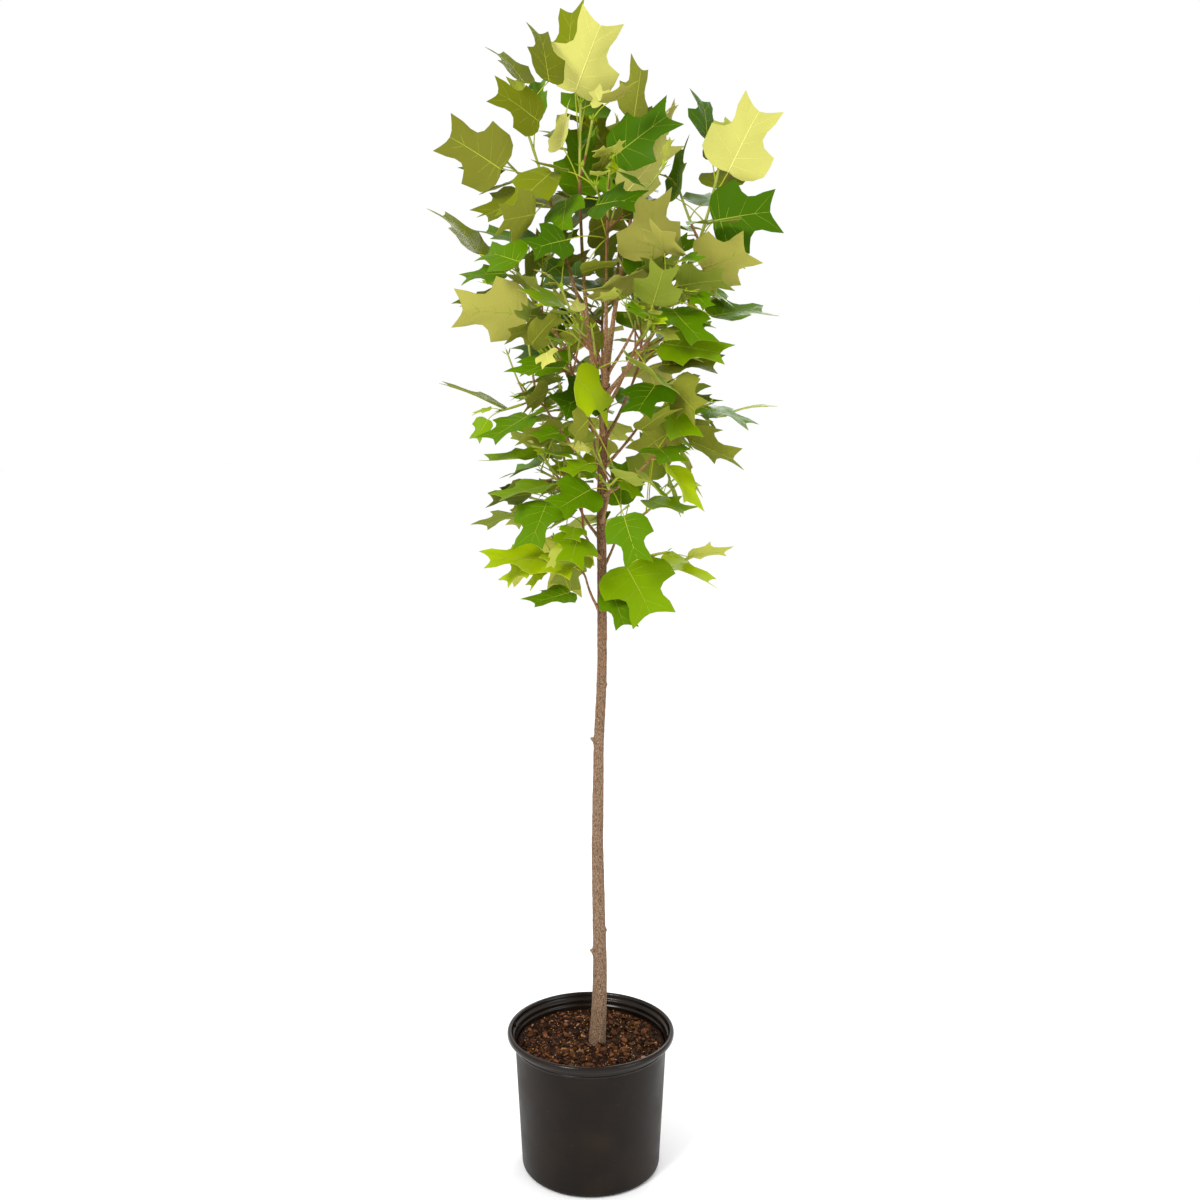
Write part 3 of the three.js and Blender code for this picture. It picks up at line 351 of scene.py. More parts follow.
cutters = []
bpy.ops.object.select_all(action="DESELECT")
for turn in HOLE_TURNS:
    bpy.ops.mesh.primitive_cylinder_add(vertices=32, radius=HOLE_RADIUS * MM,
                                        depth=HOLE_DEPTH * MM,
                                        location=place_on_ring(turn, HOLE_RING, 0))
    cutters.append(bpy.context.object)
join_into(cutters[0], cutters[1:])
drilling = pot.modifiers.new("drain_holes", "BOOLEAN")
drilling.object = cutters[0]
drilling.operation = "DIFFERENCE"
drilling.solver = "EXACT"
work_on(pot)
bpy.ops.object.modifier_apply(modifier=drilling.name)
bpy.data.objects.remove(cutters[0], do_unlink=True)
print("pot faces with", len(HOLE_TURNS), "holes:", len(pot.data.polygons))

# %% Stacking lugs
LUG_TURNS = (80, 170, 260, 350)
LUG_SIZE = (2.6, 1.6, 13)
LUG_RING = 141.4
LUG_MIDDLE = 257
LUG_ROUNDING = 0.4
lugs = []
for turn in LUG_TURNS:
    bpy.ops.object.select_all(action="DESELECT")
    bpy.ops.mesh.primitive_cube_add(size=1, location=place_on_ring(turn, LUG_RING, LUG_MIDDLE),
                                    rotation=(0, 0, math.radians(turn)),
                                    scale=[side * MM for side in LUG_SIZE])
    bpy.ops.object.transform_apply(location=True, rotation=True, scale=True)
    bpy.ops.object.mode_set(mode="EDIT")
    bpy.ops.mesh.select_all(action="SELECT")
    bpy.ops.mesh.bevel(offset=LUG_ROUNDING * MM, segments=2)
    bpy.ops.object.mode_set(mode="OBJECT")
    lugs.append(bpy.context.object)
join_into(pot, lugs)
finish_edges(pot, POT_CREASE)
print("pot faces with holes and lugs:", len(pot.data.polygons))

# %% [markdown]
# Black polyethylene is never quite black outdoors: a brownish, slightly dusty skin, satin where
# hands have rubbed it, with faint scuffs that run round and a fine orange-peel from the mould.
# The rim and the steps inside it stay cleaner, so a copy of the finish mirrors more of the room.

# %% Pot finish
RIM_FINISH_FROM = 238
pot_plastic = new_material("moulded_black_polyethylene", "#2a2522", 0.5, ior=1.51, specular=0.14)
place = add_node(pot_plastic, "TexCoord").outputs["Object"]
clouds = add_node(pot_plastic, "TexNoise", {"Vector": place, "Scale": 14, "Detail": 5})
dust_share = add_node(pot_plastic, "MapRange",
                      {"Value": clouds, "From Min": 0.42, "From Max": 0.75, "To Max": 0.5})
dusty = add_node(pot_plastic, "MixRGB",
                 {"Fac": dust_share, "Color1": linear("#140d07"), "Color2": linear("#2b2017")})
streak_place = add_node(pot_plastic, "Mapping", {"Vector": place, "Scale": (60, 60, 420)})
streaks = add_node(pot_plastic, "TexNoise", {"Vector": streak_place, "Scale": 1, "Detail": 4})
scuff_share = add_node(pot_plastic, "MapRange",
                       {"Value": streaks, "From Min": 0.66, "From Max": 0.8, "To Max": 0.35})
scuffed = add_node(pot_plastic, "MixRGB",
                   {"Fac": scuff_share, "Color1": dusty, "Color2": linear("#453b32")})
link_input(pot_plastic, "Base Color", scuffed)
gloss = add_node(pot_plastic, "MapRange",
                 {"Value": clouds, "From Min": 0.3, "From Max": 0.7, "To Min": 0.34,
                  "To Max": 0.54})
height = add_node(pot_plastic, "SeparateXYZ", {"Vector": place}).outputs["Z"]
rim_share = add_node(pot_plastic, "MapRange",
                     {"Value": height, "From Min": 0.232, "From Max": 0.246, "To Min": 1,
                      "To Max": 0.42})
smoother_rim = add_node(pot_plastic, "Math", {0: gloss, 1: rim_share}, operation="MULTIPLY")
link_input(pot_plastic, "Roughness", smoother_rim)
add_grain(pot_plastic, 700, 0.25, 0.0004)
rim_plastic = pot_plastic.copy()
rim_plastic.name = "polished_black_polyethylene_rim"
shader_of(rim_plastic).inputs["Specular IOR Level"].default_value = 0.22
paint(pot, pot_plastic, rim_plastic)
for face in pot.data.polygons:
    face.material_index = int(face.center.z > RIM_FINISH_FROM * MM)
print("pot faces with the rim's finish:", sum(face.material_index for face in pot.data.polygons))
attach(pot, "root")
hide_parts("pot")

# %% [markdown]
# Under the loose pieces the bark mix is one dark, damp, lumpy bed that fills the pot. It is
# turned like the pot, its top ends in rings that run in to the middle, and those are then moved
# up and down by a few waves, with a dip beside the trunk as in the photograph.

# %% Bed of bark mix
BED_TOP = 238.2
BED_SIDES = 120
BED_RINGS = 34
BED_RADIUS = 133.6
BED_CLEARANCE = 2.6
BED_FOOT = ((113, 4.8), (121, 5.2), (124.2, 10))
BED_HEIGHTS = (120, 232)
BED_SHOULDER = (134.8, 236.4)
SOFT_CREASE = 60
BED_WAVES = ((0.055, 0.043, 1, 1.5), (0.11, -0.07, 2.3, 0.9), (-0.09, 0.16, 0.4, 0.7),
             (0.31, 0.2, 4.1, 0.45), (-0.24, 0.37, 1.9, 0.4))
DIPS = ((52, -18, 26, 3.5), (-34, 22, 24, 2.4), (70, 34, 20, 2), (-8, 62, 26, 2))


def bed_height(x, y):
    level = BED_TOP
    for along, across, shift, size in BED_WAVES:
        level = level + size * np.sin(along * x + across * y + shift)
    for dip_x, dip_y, width, depth in DIPS:
        level = level - depth * np.exp(-((x - dip_x) ** 2 + (y - dip_y) ** 2) / width ** 2)
    return level


bed_wall = [(body_radius(height) - BED_CLEARANCE, height) for height in BED_HEIGHTS]
bed_rings = [(BED_RADIUS * (1 - i / BED_RINGS), BED_TOP) for i in range(BED_RINGS)]
soil_bed = turned_body("soil_bed", BED_SIDES, [*BED_FOOT, *bed_wall, BED_SHOULDER, *bed_rings])
places = places_of(soil_bed)
on_top = places[:, 2] > BED_TOP - 0.5
places[on_top, 2] = bed_height(places[on_top, 0], places[on_top, 1])
set_places(soil_bed, places)
finish_edges(soil_bed, SOFT_CREASE)

# %% [markdown]
# The mix is composted pine bark. Chips from dust up to about 19 mm lie every way up, most flat,
# a few on edge, from nearly black to reddish and a few pale split ones, with golden beads of
# slow fertiliser among them. A particle system could strew them, but a joined mesh stays the
# same everywhere. So six-sided flakes are dealt by a seeded generator, then a few dozen large
# ones, and six wedges lie where the photograph shows them, the largest in front of the trunk.

# %% One chip
CHIP_REACH = 131
TRUNK_FOOT = (11.5, 0)
TRUNK_FOOT_RADIUS = 15.5
CHIP_RADII = (0.55, 1.15)
UPPER_FACE = (0.84, 1)
chip_dice = np.random.default_rng(17)
ring_turns = np.arange(6) * (math.pi / 3)
CHIP_FACES = [(0, 1, 2, 3, 4, 5), (11, 10, 9, 8, 7, 6)]
CHIP_FACES += [(i, i + 6, (i + 1) % 6 + 6, (i + 1) % 6) for i in range(6)]
CHIP_FACES = [face[::-1] for face in CHIP_FACES]


def spot_in_pot(clearance):
    """A free place on the bed, clear of the trunk's foot."""
    while True:
        x, y = chip_dice.uniform(-CHIP_REACH, CHIP_REACH, 2)
        inside = math.hypot(x, y) <= CHIP_REACH - clearance
        if inside and math.dist((x, y), TRUNK_FOOT) > TRUNK_FOOT_RADIUS:
            return x, y


def chip_points(size, narrow, thick):
    radii = size / 2 * chip_dice.uniform(*CHIP_RADII, 6)
    flat = np.column_stack([np.cos(ring_turns) * radii, np.sin(ring_turns) * radii * narrow])
    lower = np.column_stack([flat, np.full(6, -thick / 2)])
    upper = np.column_stack([flat * chip_dice.uniform(*UPPER_FACE, 2), np.full(6, thick / 2)])
    return np.vstack([upper, lower])


def turned_points(points, yaw, pitch, roll):
    sx, cx, sy, cy, sz, cz = (f(v) for v in (roll, pitch, yaw) for f in (math.sin, math.cos))
    about_x = np.array([[1, 0, 0], [0, cx, -sx], [0, sx, cx]])
    about_y = np.array([[cy, 0, sy], [0, 1, 0], [-sy, 0, cy]])
    about_z = np.array([[cz, -sz, 0], [sz, cz, 0], [0, 0, 1]])
    return points @ (about_z @ about_y @ about_x).T


# %% All chips
CHIP_COUNT = 3000
SMALL_CHIP, USUAL_CHIP, LARGEST_CHIP = 1.8, 4.6, 19
CHIP_GAMMA = (1.6, 0.9)
CHIP_SHARES = (0.16, 0.46, 0.8, 0.96, 1)
THINNEST_CHIP, CHIP_THICKNESSES = 0.6, (0.04, 0.1)
CHIP_LIFTS = (-0.1, 0.3)
CHIP_WIDTHS = (0.3, 0.85)
FLAT_SHARE, FLAT_TILT, STEEP_TILT = 0.7, 0.34, 1.0
WEDGES = ((19, 21, -37, 0.15, 2), (15, 62, 4, 0.5, 3), (13, -46, 58, 0.3, 3),
          (14, 84, 30, -0.35, 2), (12, -84, 20, 0.3, 3), (13, 40, -70, -0.3, 3))
WEDGE_WIDTH, WEDGE_THICKNESS, WEDGE_TURN, WEDGE_LIFT = 0.8, 2.8, 0.9, 3.2
LARGE_FLAKES = 56
LARGE_SIZES, LARGE_WIDTHS, LARGE_LIFTS = (8, 14), (0.5, 0.9), (1.5, 4)
LARGE_THICKNESS, LARGE_TILT = 1.6, 0.4
chips = Basket()


def turned_chip(flake, tilt):
    return turned_points(flake, chip_dice.uniform(0, 2 * math.pi), *chip_dice.normal(0, tilt, 2))


def put_chip(flake, x, y, lift, kind):
    chips.put(flake + (x, y, bed_height(x, y) + lift), CHIP_FACES, kind)


for _ in range(CHIP_COUNT):
    size = SMALL_CHIP + (USUAL_CHIP - SMALL_CHIP) * chip_dice.gamma(*CHIP_GAMMA)
    size = min(size, LARGEST_CHIP)
    x, y = spot_in_pot(size / 2)
    tilt = FLAT_TILT if chip_dice.random() < FLAT_SHARE else STEEP_TILT
    narrow = chip_dice.uniform(*CHIP_WIDTHS)
    thick = THINNEST_CHIP + size * chip_dice.uniform(*CHIP_THICKNESSES)
    flake = turned_chip(chip_points(size, narrow, thick), tilt)
    lift = chip_dice.uniform(*CHIP_LIFTS) * size
    put_chip(flake, x, y, lift, int(np.searchsorted(CHIP_SHARES, chip_dice.random())))
for size, x, y, tilt, kind in WEDGES:
    wedge = chip_points(size, WEDGE_WIDTH, WEDGE_THICKNESS)
    put_chip(turned_points(wedge, WEDGE_TURN + x, tilt, tilt / 2), x, y, WEDGE_LIFT, kind)
for _ in range(LARGE_FLAKES):
    size = chip_dice.uniform(*LARGE_SIZES)
    x, y = spot_in_pot(size / 2)
    flake = chip_points(size, chip_dice.uniform(*LARGE_WIDTHS), LARGE_THICKNESS)
    flake = turned_chip(flake, LARGE_TILT)
    kind = int(chip_dice.integers(1, 4))
    put_chip(flake, x, y, chip_dice.uniform(*LARGE_LIFTS), kind)
print("chips", len(chips.faces) // len(CHIP_FACES))

# %% [markdown]
# Damp bark is matt and fibrous: its fibres are drawn as streaks three times as long as wide that
# roughen the surface and change its gloss. One recipe serves the bed and every kind of chip.

# %% Bark mix finishes
CHIP_COLOURS = (("damp_black_bark_chip", "#1c0e06"), ("dark_bark_chip", "#37200f"),
                ("brown_bark_chip", "#54341d"), ("reddish_bark_chip", "#6f4528"),
                ("pale_split_bark_chip", "#96704f"))
chip_finishes = []
for name, colour in (("damp_compost", "#22120a"),) + CHIP_COLOURS:
    finish = new_material(name, colour, 0.85, specular=0.08)
    place = add_node(finish, "TexCoord").outputs["Object"]
    fibre_place = add_node(finish, "Mapping", {"Vector": place, "Scale": (900, 300, 900)})
    fibres = add_node(finish, "TexNoise", {"Vector": fibre_place, "Scale": 1, "Detail": 4})
    fibre_relief = add_node(finish, "Bump",
                            {"Strength": 0.45, "Distance": 0.0005, "Height": fibres})
    damp = add_node(finish, "MapRange",
                    {"Value": fibres, "From Min": 0.35, "From Max": 0.65, "To Min": 0.6,
                     "To Max": 0.95})
    link_input(finish, "Roughness", damp)
    link_input(finish, "Normal", fibre_relief)
    chip_finishes.append(finish)
paint(soil_bed, chip_finishes[0])
bark_chips = chips.as_piece("bark_chips", chip_finishes[1:], smooth=False)

# %% Fertiliser beads
BEAD_COUNT = 130
BEAD_RADII, BEAD_LIFTS = (0.8, 1.35), (1.4, 3.4)
BEAD_CLEARANCE = 2
bpy.ops.object.select_all(action="DESELECT")
bpy.ops.mesh.primitive_ico_sphere_add(subdivisions=1, radius=MM)
ball = bpy.context.object
ball_points = places_of(ball)
ball_faces = [tuple(face.vertices) for face in ball.data.polygons]
bpy.data.objects.remove(ball, do_unlink=True)
beads = Basket()
for _ in range(BEAD_COUNT):
    x, y = spot_in_pot(BEAD_CLEARANCE)
    radius = chip_dice.uniform(*BEAD_RADII)
    height = bed_height(x, y) + chip_dice.uniform(*BEAD_LIFTS)
    beads.put(ball_points * radius + (x, y, height), ball_faces)
bead_coat = new_material("golden_resin_coated_bead", "#bd8b36", 0.35, ior=1.52)
add_grain(bead_coat, 1500, 0.3, 0.0002)
food_beads = beads.as_piece("fertiliser_beads", [bead_coat])
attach(soil_bed, "root")
for piece in (soil_bed, bark_chips, food_beads):
    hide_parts("bark_mix")

# %% [markdown]
# The crown grows by one rule, the same that made the solids: limbs first, then a main shoot
# from the tip of each bough, side twigs, the leaves that give the crown its outline, and then
# leaves all round the shoots. It could be scattered freely instead, but then the leaves would
# stand away from the solids that they replace. So the tables and the rule are written again
# here, in millimetres, and go on to finer twigs and younger leaves afterwards.

# %% Limbs by height, place and thickness
def table(fields, *rows):
    return [dict(zip(fields, row)) for row in rows]


SOIL_LEVEL = 239
TRUNK_COURSE = np.array([
    (SOIL_LEVEL, 11.5, 33), (250, 12.5, 29.4), (320, 16, 26.4), (398, 17, 24.6), (475, 15.2, 23.2),
    (551, 13.4, 22), (626, 12.5, 20.6), (701, 13.4, 19.6), (811, 15, 18.2), (884, 18.8, 17.4),
    (960, 20.8, 16.8), (1040, 20.5, 17), (1133, 20.4, 16.4), (1228, 18.7, 15.6), (1322, 22.1, 14.4),
    (1406, 24, 13), (1466, 28, 10.4),
])
BOUGH_FIELDS = ("name", "height", "heading", "reach", "rise", "bend", "base", "tip")
BOUGHS = table(
    BOUGH_FIELDS,
    ("leader", 1400, 204, 42, 300, 0.55, 9.6, 5),
    ("left_leader", 1446, 171, 76, 226, 0.1, 7.6, 5),
    ("right_leader", 1460, 20, 34, 190, -0.1, 8.6, 5.4),
    ("right_bough", 1412, 350, 130, 188, 0.15, 8, 5),
    ("right_shoot", 1446, 318, 66, 84, 0.1, 5.4, 4),
    ("left_bough", 1424, 159, 90, 92, 0.1, 6.6, 4.6),
    ("left_spur", 1372, 228, 62, 66, 0.1, 6, 4.2),
    ("left_arm", 1268, 190, 96, 125, 0.1, 5.6, 4),
    ("right_arm", 1290, 15, 68, 76, 0.1, 5.6, 4),
    ("right_low_arm", 1243, 338, 86, 62, 0.2, 5.6, 4),
    ("left_low_spur", 1220, 166, 40, 24, 0.2, 6, 4),
    ("right_low_twig", 1078, 352, 76, 56, 0.1, 5, 3.6),
    ("left_low_twig", 1040, 190, 28, 60, 0.3, 5, 3.6),
    ("front_leader", 1430, 272, 60, 196, 0.3, 7.4, 4.8),
    ("back_leader", 1438, 70, 70, 220, 0.25, 7.6, 4.8),
    ("front_bough", 1346, 262, 72, 104, 0.15, 6.6, 4.4),
    ("front_right_bough", 1384, 308, 70, 90, 0.1, 6.4, 4.4),
    ("back_bough", 1380, 92, 76, 120, 0.15, 6.8, 4.4),
    ("back_left_bough", 1330, 136, 72, 104, 0.15, 6.4, 4.4),
    ("back_right_bough", 1336, 44, 70, 96, 0.15, 6.4, 4.4),
    ("front_mid_arm", 1196, 284, 52, 58, 0.15, 5.6, 4),
    ("back_mid_arm", 1258, 104, 58, 80, 0.15, 5.6, 4),
    ("front_low_arm", 1134, 236, 44, 40, 0.2, 5.2, 3.8),
    ("back_low_arm", 1116, 58, 48, 50, 0.2, 5.2, 3.8),
    ("back_left_low_arm", 1168, 142, 48, 50, 0.2, 5.2, 3.8),
)
BOUGH_RINGS = 3
bough_named = {bough["name"]: bough for bough in BOUGHS}

# %% Masses of foliage, each on the tip of its bough
MASS_FIELDS = ("name", "bough", "heading", "reach", "rise", "leaves", "forks", "size", "droop",
               "seed", "finer")
MASSES = table(
    MASS_FIELDS,
    ("crown_top", "leader", 90, 5, 184, 9, 1, 96, 0.2, 11, 0),
    ("crown_left", "left_leader", 190, 60, 186, 8, 1, 96, 0.25, 23, 0),
    ("crown_right", "right_leader", 35, 14, 208, 8, 1, 96, 0.2, 31, 0),
    ("crown_far_right", "right_bough", 358, 60, 194, 6, 1, 98, 0.3, 43, 0),
    ("right_spray", "right_shoot", 344, 84, 56, 7, 1, 98, 0.5, 57, 4),
    ("left_spray", "left_bough", 172, 64, 100, 8, 1, 100, 0.45, 61, 3),
    ("left_spur_leaves", "left_spur", 214, 50, 40, 6, 1, 96, 0.6, 73, 4),
    ("left_arm_leaves", "left_arm", 186, 50, 20, 6, 1, 90, 0.6, 83, 3),
    ("right_arm_leaves", "right_arm", 10, 64, 34, 6, 1, 94, 0.6, 97, 2),
    ("right_low_arm_leaves", "right_low_arm", 342, 36, 20, 5, 0, 90, 0.6, 101, 2),
    ("left_low_spur_leaves", "left_low_spur", 176, 64, 40, 6, 1, 90, 0.6, 113, 2),
    ("right_low_leaves", "right_low_twig", 352, 36, 14, 4, 0, 92, 0.7, 127, 0),
    ("left_low_leaves", "left_low_twig", 186, 54, 36, 5, 0, 92, 0.7, 131, 1),
    ("front_crown", "front_leader", 280, 30, 160, 9, 1, 96, 0.35, 149, 4),
    ("back_crown", "back_leader", 66, 30, 176, 9, 1, 98, 0.35, 151, 4),
    ("front_spray", "front_bough", 258, 44, 76, 8, 1, 96, 0.5, 163, 4),
    ("front_right_spray", "front_right_bough", 312, 44, 66, 7, 1, 96, 0.5, 173, 5),
    ("back_spray", "back_bough", 86, 44, 96, 9, 1, 98, 0.45, 181, 4),
    ("back_left_spray", "back_left_bough", 134, 44, 90, 9, 2, 98, 0.5, 191, 4),
    ("back_right_spray", "back_right_bough", 40, 44, 84, 9, 1, 98, 0.5, 199, 4),
    ("front_mid_leaves", "front_mid_arm", 290, 40, 30, 6, 1, 90, 0.6, 211, 3),
    ("back_mid_leaves", "back_mid_arm", 106, 44, 44, 7, 1, 92, 0.6, 223, 3),
    ("front_low_leaves", "front_low_arm", 238, 36, 20, 5, 1, 88, 0.65, 233, 1),
    ("back_low_leaves", "back_low_arm", 56, 40, 26, 7, 1, 90, 0.65, 241, 0),
    ("back_left_low_leaves", "back_left_low_arm", 146, 40, 26, 7, 1, 90, 0.65, 251, 1),
)
print("boughs", len(BOUGHS), "masses", len(MASSES))

# %% [markdown]
# The leaves along the crown's edge are placed by where the camera sees the foot and the tip of
# each blade. The last word of a row is the leaf's tone: how young the leaf is and which of its
# sides the light catches, which decides its two colours further down. On the crown's left a
# darker, duller olive tone is painted shade, for leaves there that face the key light.

# %% Leaves of the crown's outline
EDGE_FIELDS = ("mass", "foot", "end", "depth", "away", "long", "wide", "tilt", "tone")
EDGE_LEAVES = table(
    EDGE_FIELDS,
    ("crown_top", (-24, 1903), (24, 2024), -8, 0, 130, 126, 165, "yellow"),
    ("crown_top", (-34, 1940), (-30, 2042), 32, 1, 112, 84, 35, "olive"),
    ("crown_top", (-45, 1818), (-42, 1880), -30, 1, 84, 70, 60, "yellow"),
    ("crown_top", (-14, 1742), (-16, 1855), 44, 0, 112, 100, 20, "mid"),
    # The next four leaves carry painted shade: a darker, duller olive where they face the key
    # light.
    ("crown_left", (-66, 1920), (-82, 2012), -56, 1, 104, 78, 48, "moss"),
    ("crown_left", (-106, 1918), (-152, 1976), -8, 1, 92, 66, 62, "moss"),
    ("crown_left", (-82, 1857), (-156, 1914), -36, -1, 104, 86, 40, "moss"),
    ("crown_left", (-145, 1782), (-238, 1844), -40, 1, 118, 114, 168, "moss"),
    ("crown_left", (-62, 1778), (-146, 1708), -64, -1, 116, 96, 55, "olive"),
    ("crown_right", (72, 1862), (86, 1952), 8, 1, 100, 84, 132, "olive"),
    ("crown_right", (40, 1803), (140, 1876), -24, -1, 126, 108, 38, "dark"),
    ("crown_right", (57, 1742), (140, 1834), -21, 0, 126, 80, 150, "yellow"),
    ("crown_far_right", (142, 1736), (150, 1826), -16, 1, 98, 78, 66, "mid"),
    ("crown_far_right", (193, 1828), (186, 1902), 0, 1, 96, 80, 50, "dark"),
    ("crown_far_right", (228, 1778), (281, 1890), -30, 0, 124, 126, 162, "yellow"),
    ("crown_far_right", (204, 1700), (314, 1720), -64, 0, 114, 124, 22, "dark"),
    ("crown_far_right", (186, 1624), (272, 1652), -70, -1, 104, 112, 150, "pale"),
    ("left_spray", (-182, 1646), (-247, 1726), 20, 1, 112, 88, 66, "olive"),
    ("left_spray", (-108, 1548), (-230, 1562), -16, 0, 122, 112, 160, "pale"),
    ("left_spray", (-150, 1530), (-250, 1518), 60, 1, 112, 96, 112, "olive"),
    ("left_spray", (-100, 1662), (-180, 1688), 56, 1, 104, 90, 70, "mid"),
    ("right_spray", (203, 1545), (302, 1562), -60, 1, 108, 92, 66, "mid"),
    ("right_spray", (122, 1500), (236, 1484), -90, -1, 120, 108, 58, "bright"),
    ("right_arm_leaves", (186, 1394), (280, 1372), 20, -1, 104, 90, 78, "mid"),
    ("right_arm_leaves", (212, 1376), (312, 1408), 60, 0, 104, 70, 86, "lime"),
    ("right_arm_leaves", (166, 1340), (256, 1302), -10, -1, 108, 96, 120, "olive"),
    ("left_arm_leaves", (-143, 1390), (-250, 1440), -20, 0, 118, 60, 84, "olive"),
    ("left_arm_leaves", (-104, 1380), (-176, 1336), -60, -1, 100, 88, 62, "mid"),
    ("front_spray", (-24, 1442), (44, 1386), -140, 1, 104, 92, 42, "lime"),
    ("left_low_spur_leaves", (-70, 1262), (-164, 1240), -26, -1, 104, 88, 74, "bright"),
    ("left_low_spur_leaves", (-86, 1296), (-136, 1280), 52, 1, 92, 80, 76, "mid"),
    ("left_low_leaves", (-112, 1210), (-190, 1198), 20, 1, 92, 84, 104, "mid"),
    ("left_low_leaves", (-78, 1132), (-188, 1140), -40, -1, 114, 98, 60, "lime"),
    ("left_low_leaves", (-34, 1076), (-108, 1054), -50, -1, 88, 80, 62, "mid"),
    ("right_low_arm_leaves", (100, 1236), (174, 1214), -36, -1, 92, 84, 70, "bright"),
    ("right_low_leaves", (62, 1122), (114, 1028), -44, -1, 118, 140, 24, "bright"),
    ("right_low_leaves", (122, 1126), (220, 1096), -44, 0, 104, 88, 70, "lime"),
    ("right_low_leaves", (168, 1138), (240, 1152), 14, 1, 78, 66, 110, "lime"),
)
print("leaves of the outline", len(EDGE_LEAVES))

# %% The numbers of the rule
SHOOT_CLEARANCE = 0.6
SHOOT_STEPS = 12
SHOOT_BEND = 0.4
SHOOT_TIP_RADIUS = 2
FORK_RADIUS = 2.1
FORK_LENGTH = 96
FORK_LEAVES = 4
FORK_SPLIT = 52
FORK_LIFT = 0.25
FORK_PLACES = (0.16, 0.62)
LONE_FORK_PLACE = 0.4
FORK_SPREAD = (0.8, 1.2)
TURN_PER_LEAF = 137.5
TURN_RETRY = 47
TURN_SPREAD = (-14, 14)
TRIES = 14
FIRST_NODE = 0.14
NODE_CROWDING = 0.85
SPLIT_ALONG = (70, 26)
SPLIT_SPREAD = (0.85, 1.15)
SIZE_ALONG = (1.06, 0.62)
SIZE_SPREAD = (0.88, 1.1)
PETIOLE_SPREAD = (0.5, 0.85)
PETIOLE_RETRY = 0.03
DROOP_SPREAD = (0.5, 1.5)
ROLL_SPREAD = (-38, 38)
WIDTH_SPREAD = (0.92, 1.14)
DEPTH_SHIFTS = (0, 14, -14, 28, -28, 42, -42, 56, -56, 70, -70)
EDGE_PETIOLE = 0.75
NODE_PLACES = (0.3, 1)
NODE_STEPS = 14
NODE_ABOVE_COST = 0.5
NEAR_UPRIGHT = 0.05
DICE_SEED_STEP = 65537
DICE_FACTOR = 48271
DICE_RANGE = 2147483647
CELL = 7
SAMPLE = 4
CLEAR_OF_FOOT = 14
LIMB_SPOT_TURN = 60
CROWN_MIDDLE = 22
CROWN_PROFILE = np.array([(1010, 80), (1090, 205), (1300, 225), (1450, 255), (1820, 280),
                          (1930, 175), (2030, 70)])
BLADE_HALF = ((0.6, 0.06), (1, 0.42), (0.5, 0.56), (0.6, 1))
BLADE_NOTCH = 0.86
BLADE_FOLD = 0.22
BLADE_TRIANGLES = ((0, 2, 3), (0, 3, 4), (0, 4, 1), (4, 5, 1), (0, 7, 6), (0, 8, 7), (0, 1, 8),
                   (8, 1, 9))

# %% Directions, courses and dice
UP = np.array([0.0, 0.0, 1.0])
RIGHT = np.array([1.0, 0.0, 0.0])


def within(pair, share):
    return pair[0] + (pair[1] - pair[0]) * share


def length(vector):
    return math.sqrt(vector @ vector)


def unit(vector):
    return vector * (1 / length(vector))


def turned(vector, axis, degrees):
    half = math.radians(degrees) / 2
    part = axis * math.sin(half)
    twice = 2 * np.cross(part, vector)
    return vector + math.cos(half) * twice + np.cross(part, twice)


def heading(degrees):
    return turned(RIGHT, UP, degrees)


def on_course(course, share):
    start, bend, end = course
    rest = 1 - share
    return rest * rest * start + 2 * rest * share * bend + share * share * end


def course_points(course, steps):
    return [on_course(course, i / steps) for i in range(steps + 1)]


def course_way(course, share, step=0.0001):
    return unit(on_course(course, min(share + step, 1)) - on_course(course, max(share - step, 0)))


def make_dice(seed):
    state = seed * DICE_SEED_STEP
    while True:
        state = state * DICE_FACTOR % DICE_RANGE
        yield state / DICE_RANGE


def trunk_x(height):
    return float(np.interp(height, TRUNK_COURSE[:, 0], TRUNK_COURSE[:, 1]))


def bough_course(bough):
    start = np.array([trunk_x(bough["height"]), 0.0, bough["height"]])
    out = heading(bough["heading"]) * bough["reach"]
    end = start + out + UP * bough["rise"]
    early = bough["bend"] / 2
    bend = start + out * (0.5 + early) + UP * (bough["rise"] * (0.5 - early))
    return start, bend, end


# %% [markdown]
# Leaves must not pass through each other or through a limb. Testing real meshes against each
# other would be slow, so space is cut into 7 mm cells and each limb or mass writes its number
# into the cells that it fills and those round them. A new leaf is kept only where its cells are
# free or its own. Whole arrays of spots are looked up at once, which keeps this to seconds.

# %% Space that is taken
GRID_OFFSET = np.array([64, 64, 0])
GRID_SHAPE = (128, 128, 320)
SEVERAL = -1
owners = {}
nearby = np.zeros(GRID_SHAPE, np.int16)
taken = {"blade": np.zeros(GRID_SHAPE, bool), "wood": np.zeros(GRID_SHAPE, bool)}
NEXT_CELLS = (-1, 0, 1)
claimed_round = [(i, j, k) for i in NEXT_CELLS for j in NEXT_CELLS for k in NEXT_CELLS]


def cells_of(spots):
    return np.unique(np.floor(spots / CELL).astype(int) + GRID_OFFSET, axis=0)


def claim(name, kind, spots):
    owner = owners.setdefault(name, len(owners) + 1)
    cells = cells_of(spots)
    taken[kind][tuple(cells.T)] = True
    for shift in claimed_round:
        place = tuple((cells + shift).T)
        holder = nearby[place]
        nearby[place] = np.where((holder == 0) | (holder == owner), owner, SEVERAL)


def is_clear(name, cells):
    holder = nearby[tuple(cells.T)]
    return bool(np.all((holder == 0) | (holder == owners.get(name, SEVERAL - 1))))


def is_free_of(kind, cells):
    return not taken[kind][tuple(cells.T)].any()


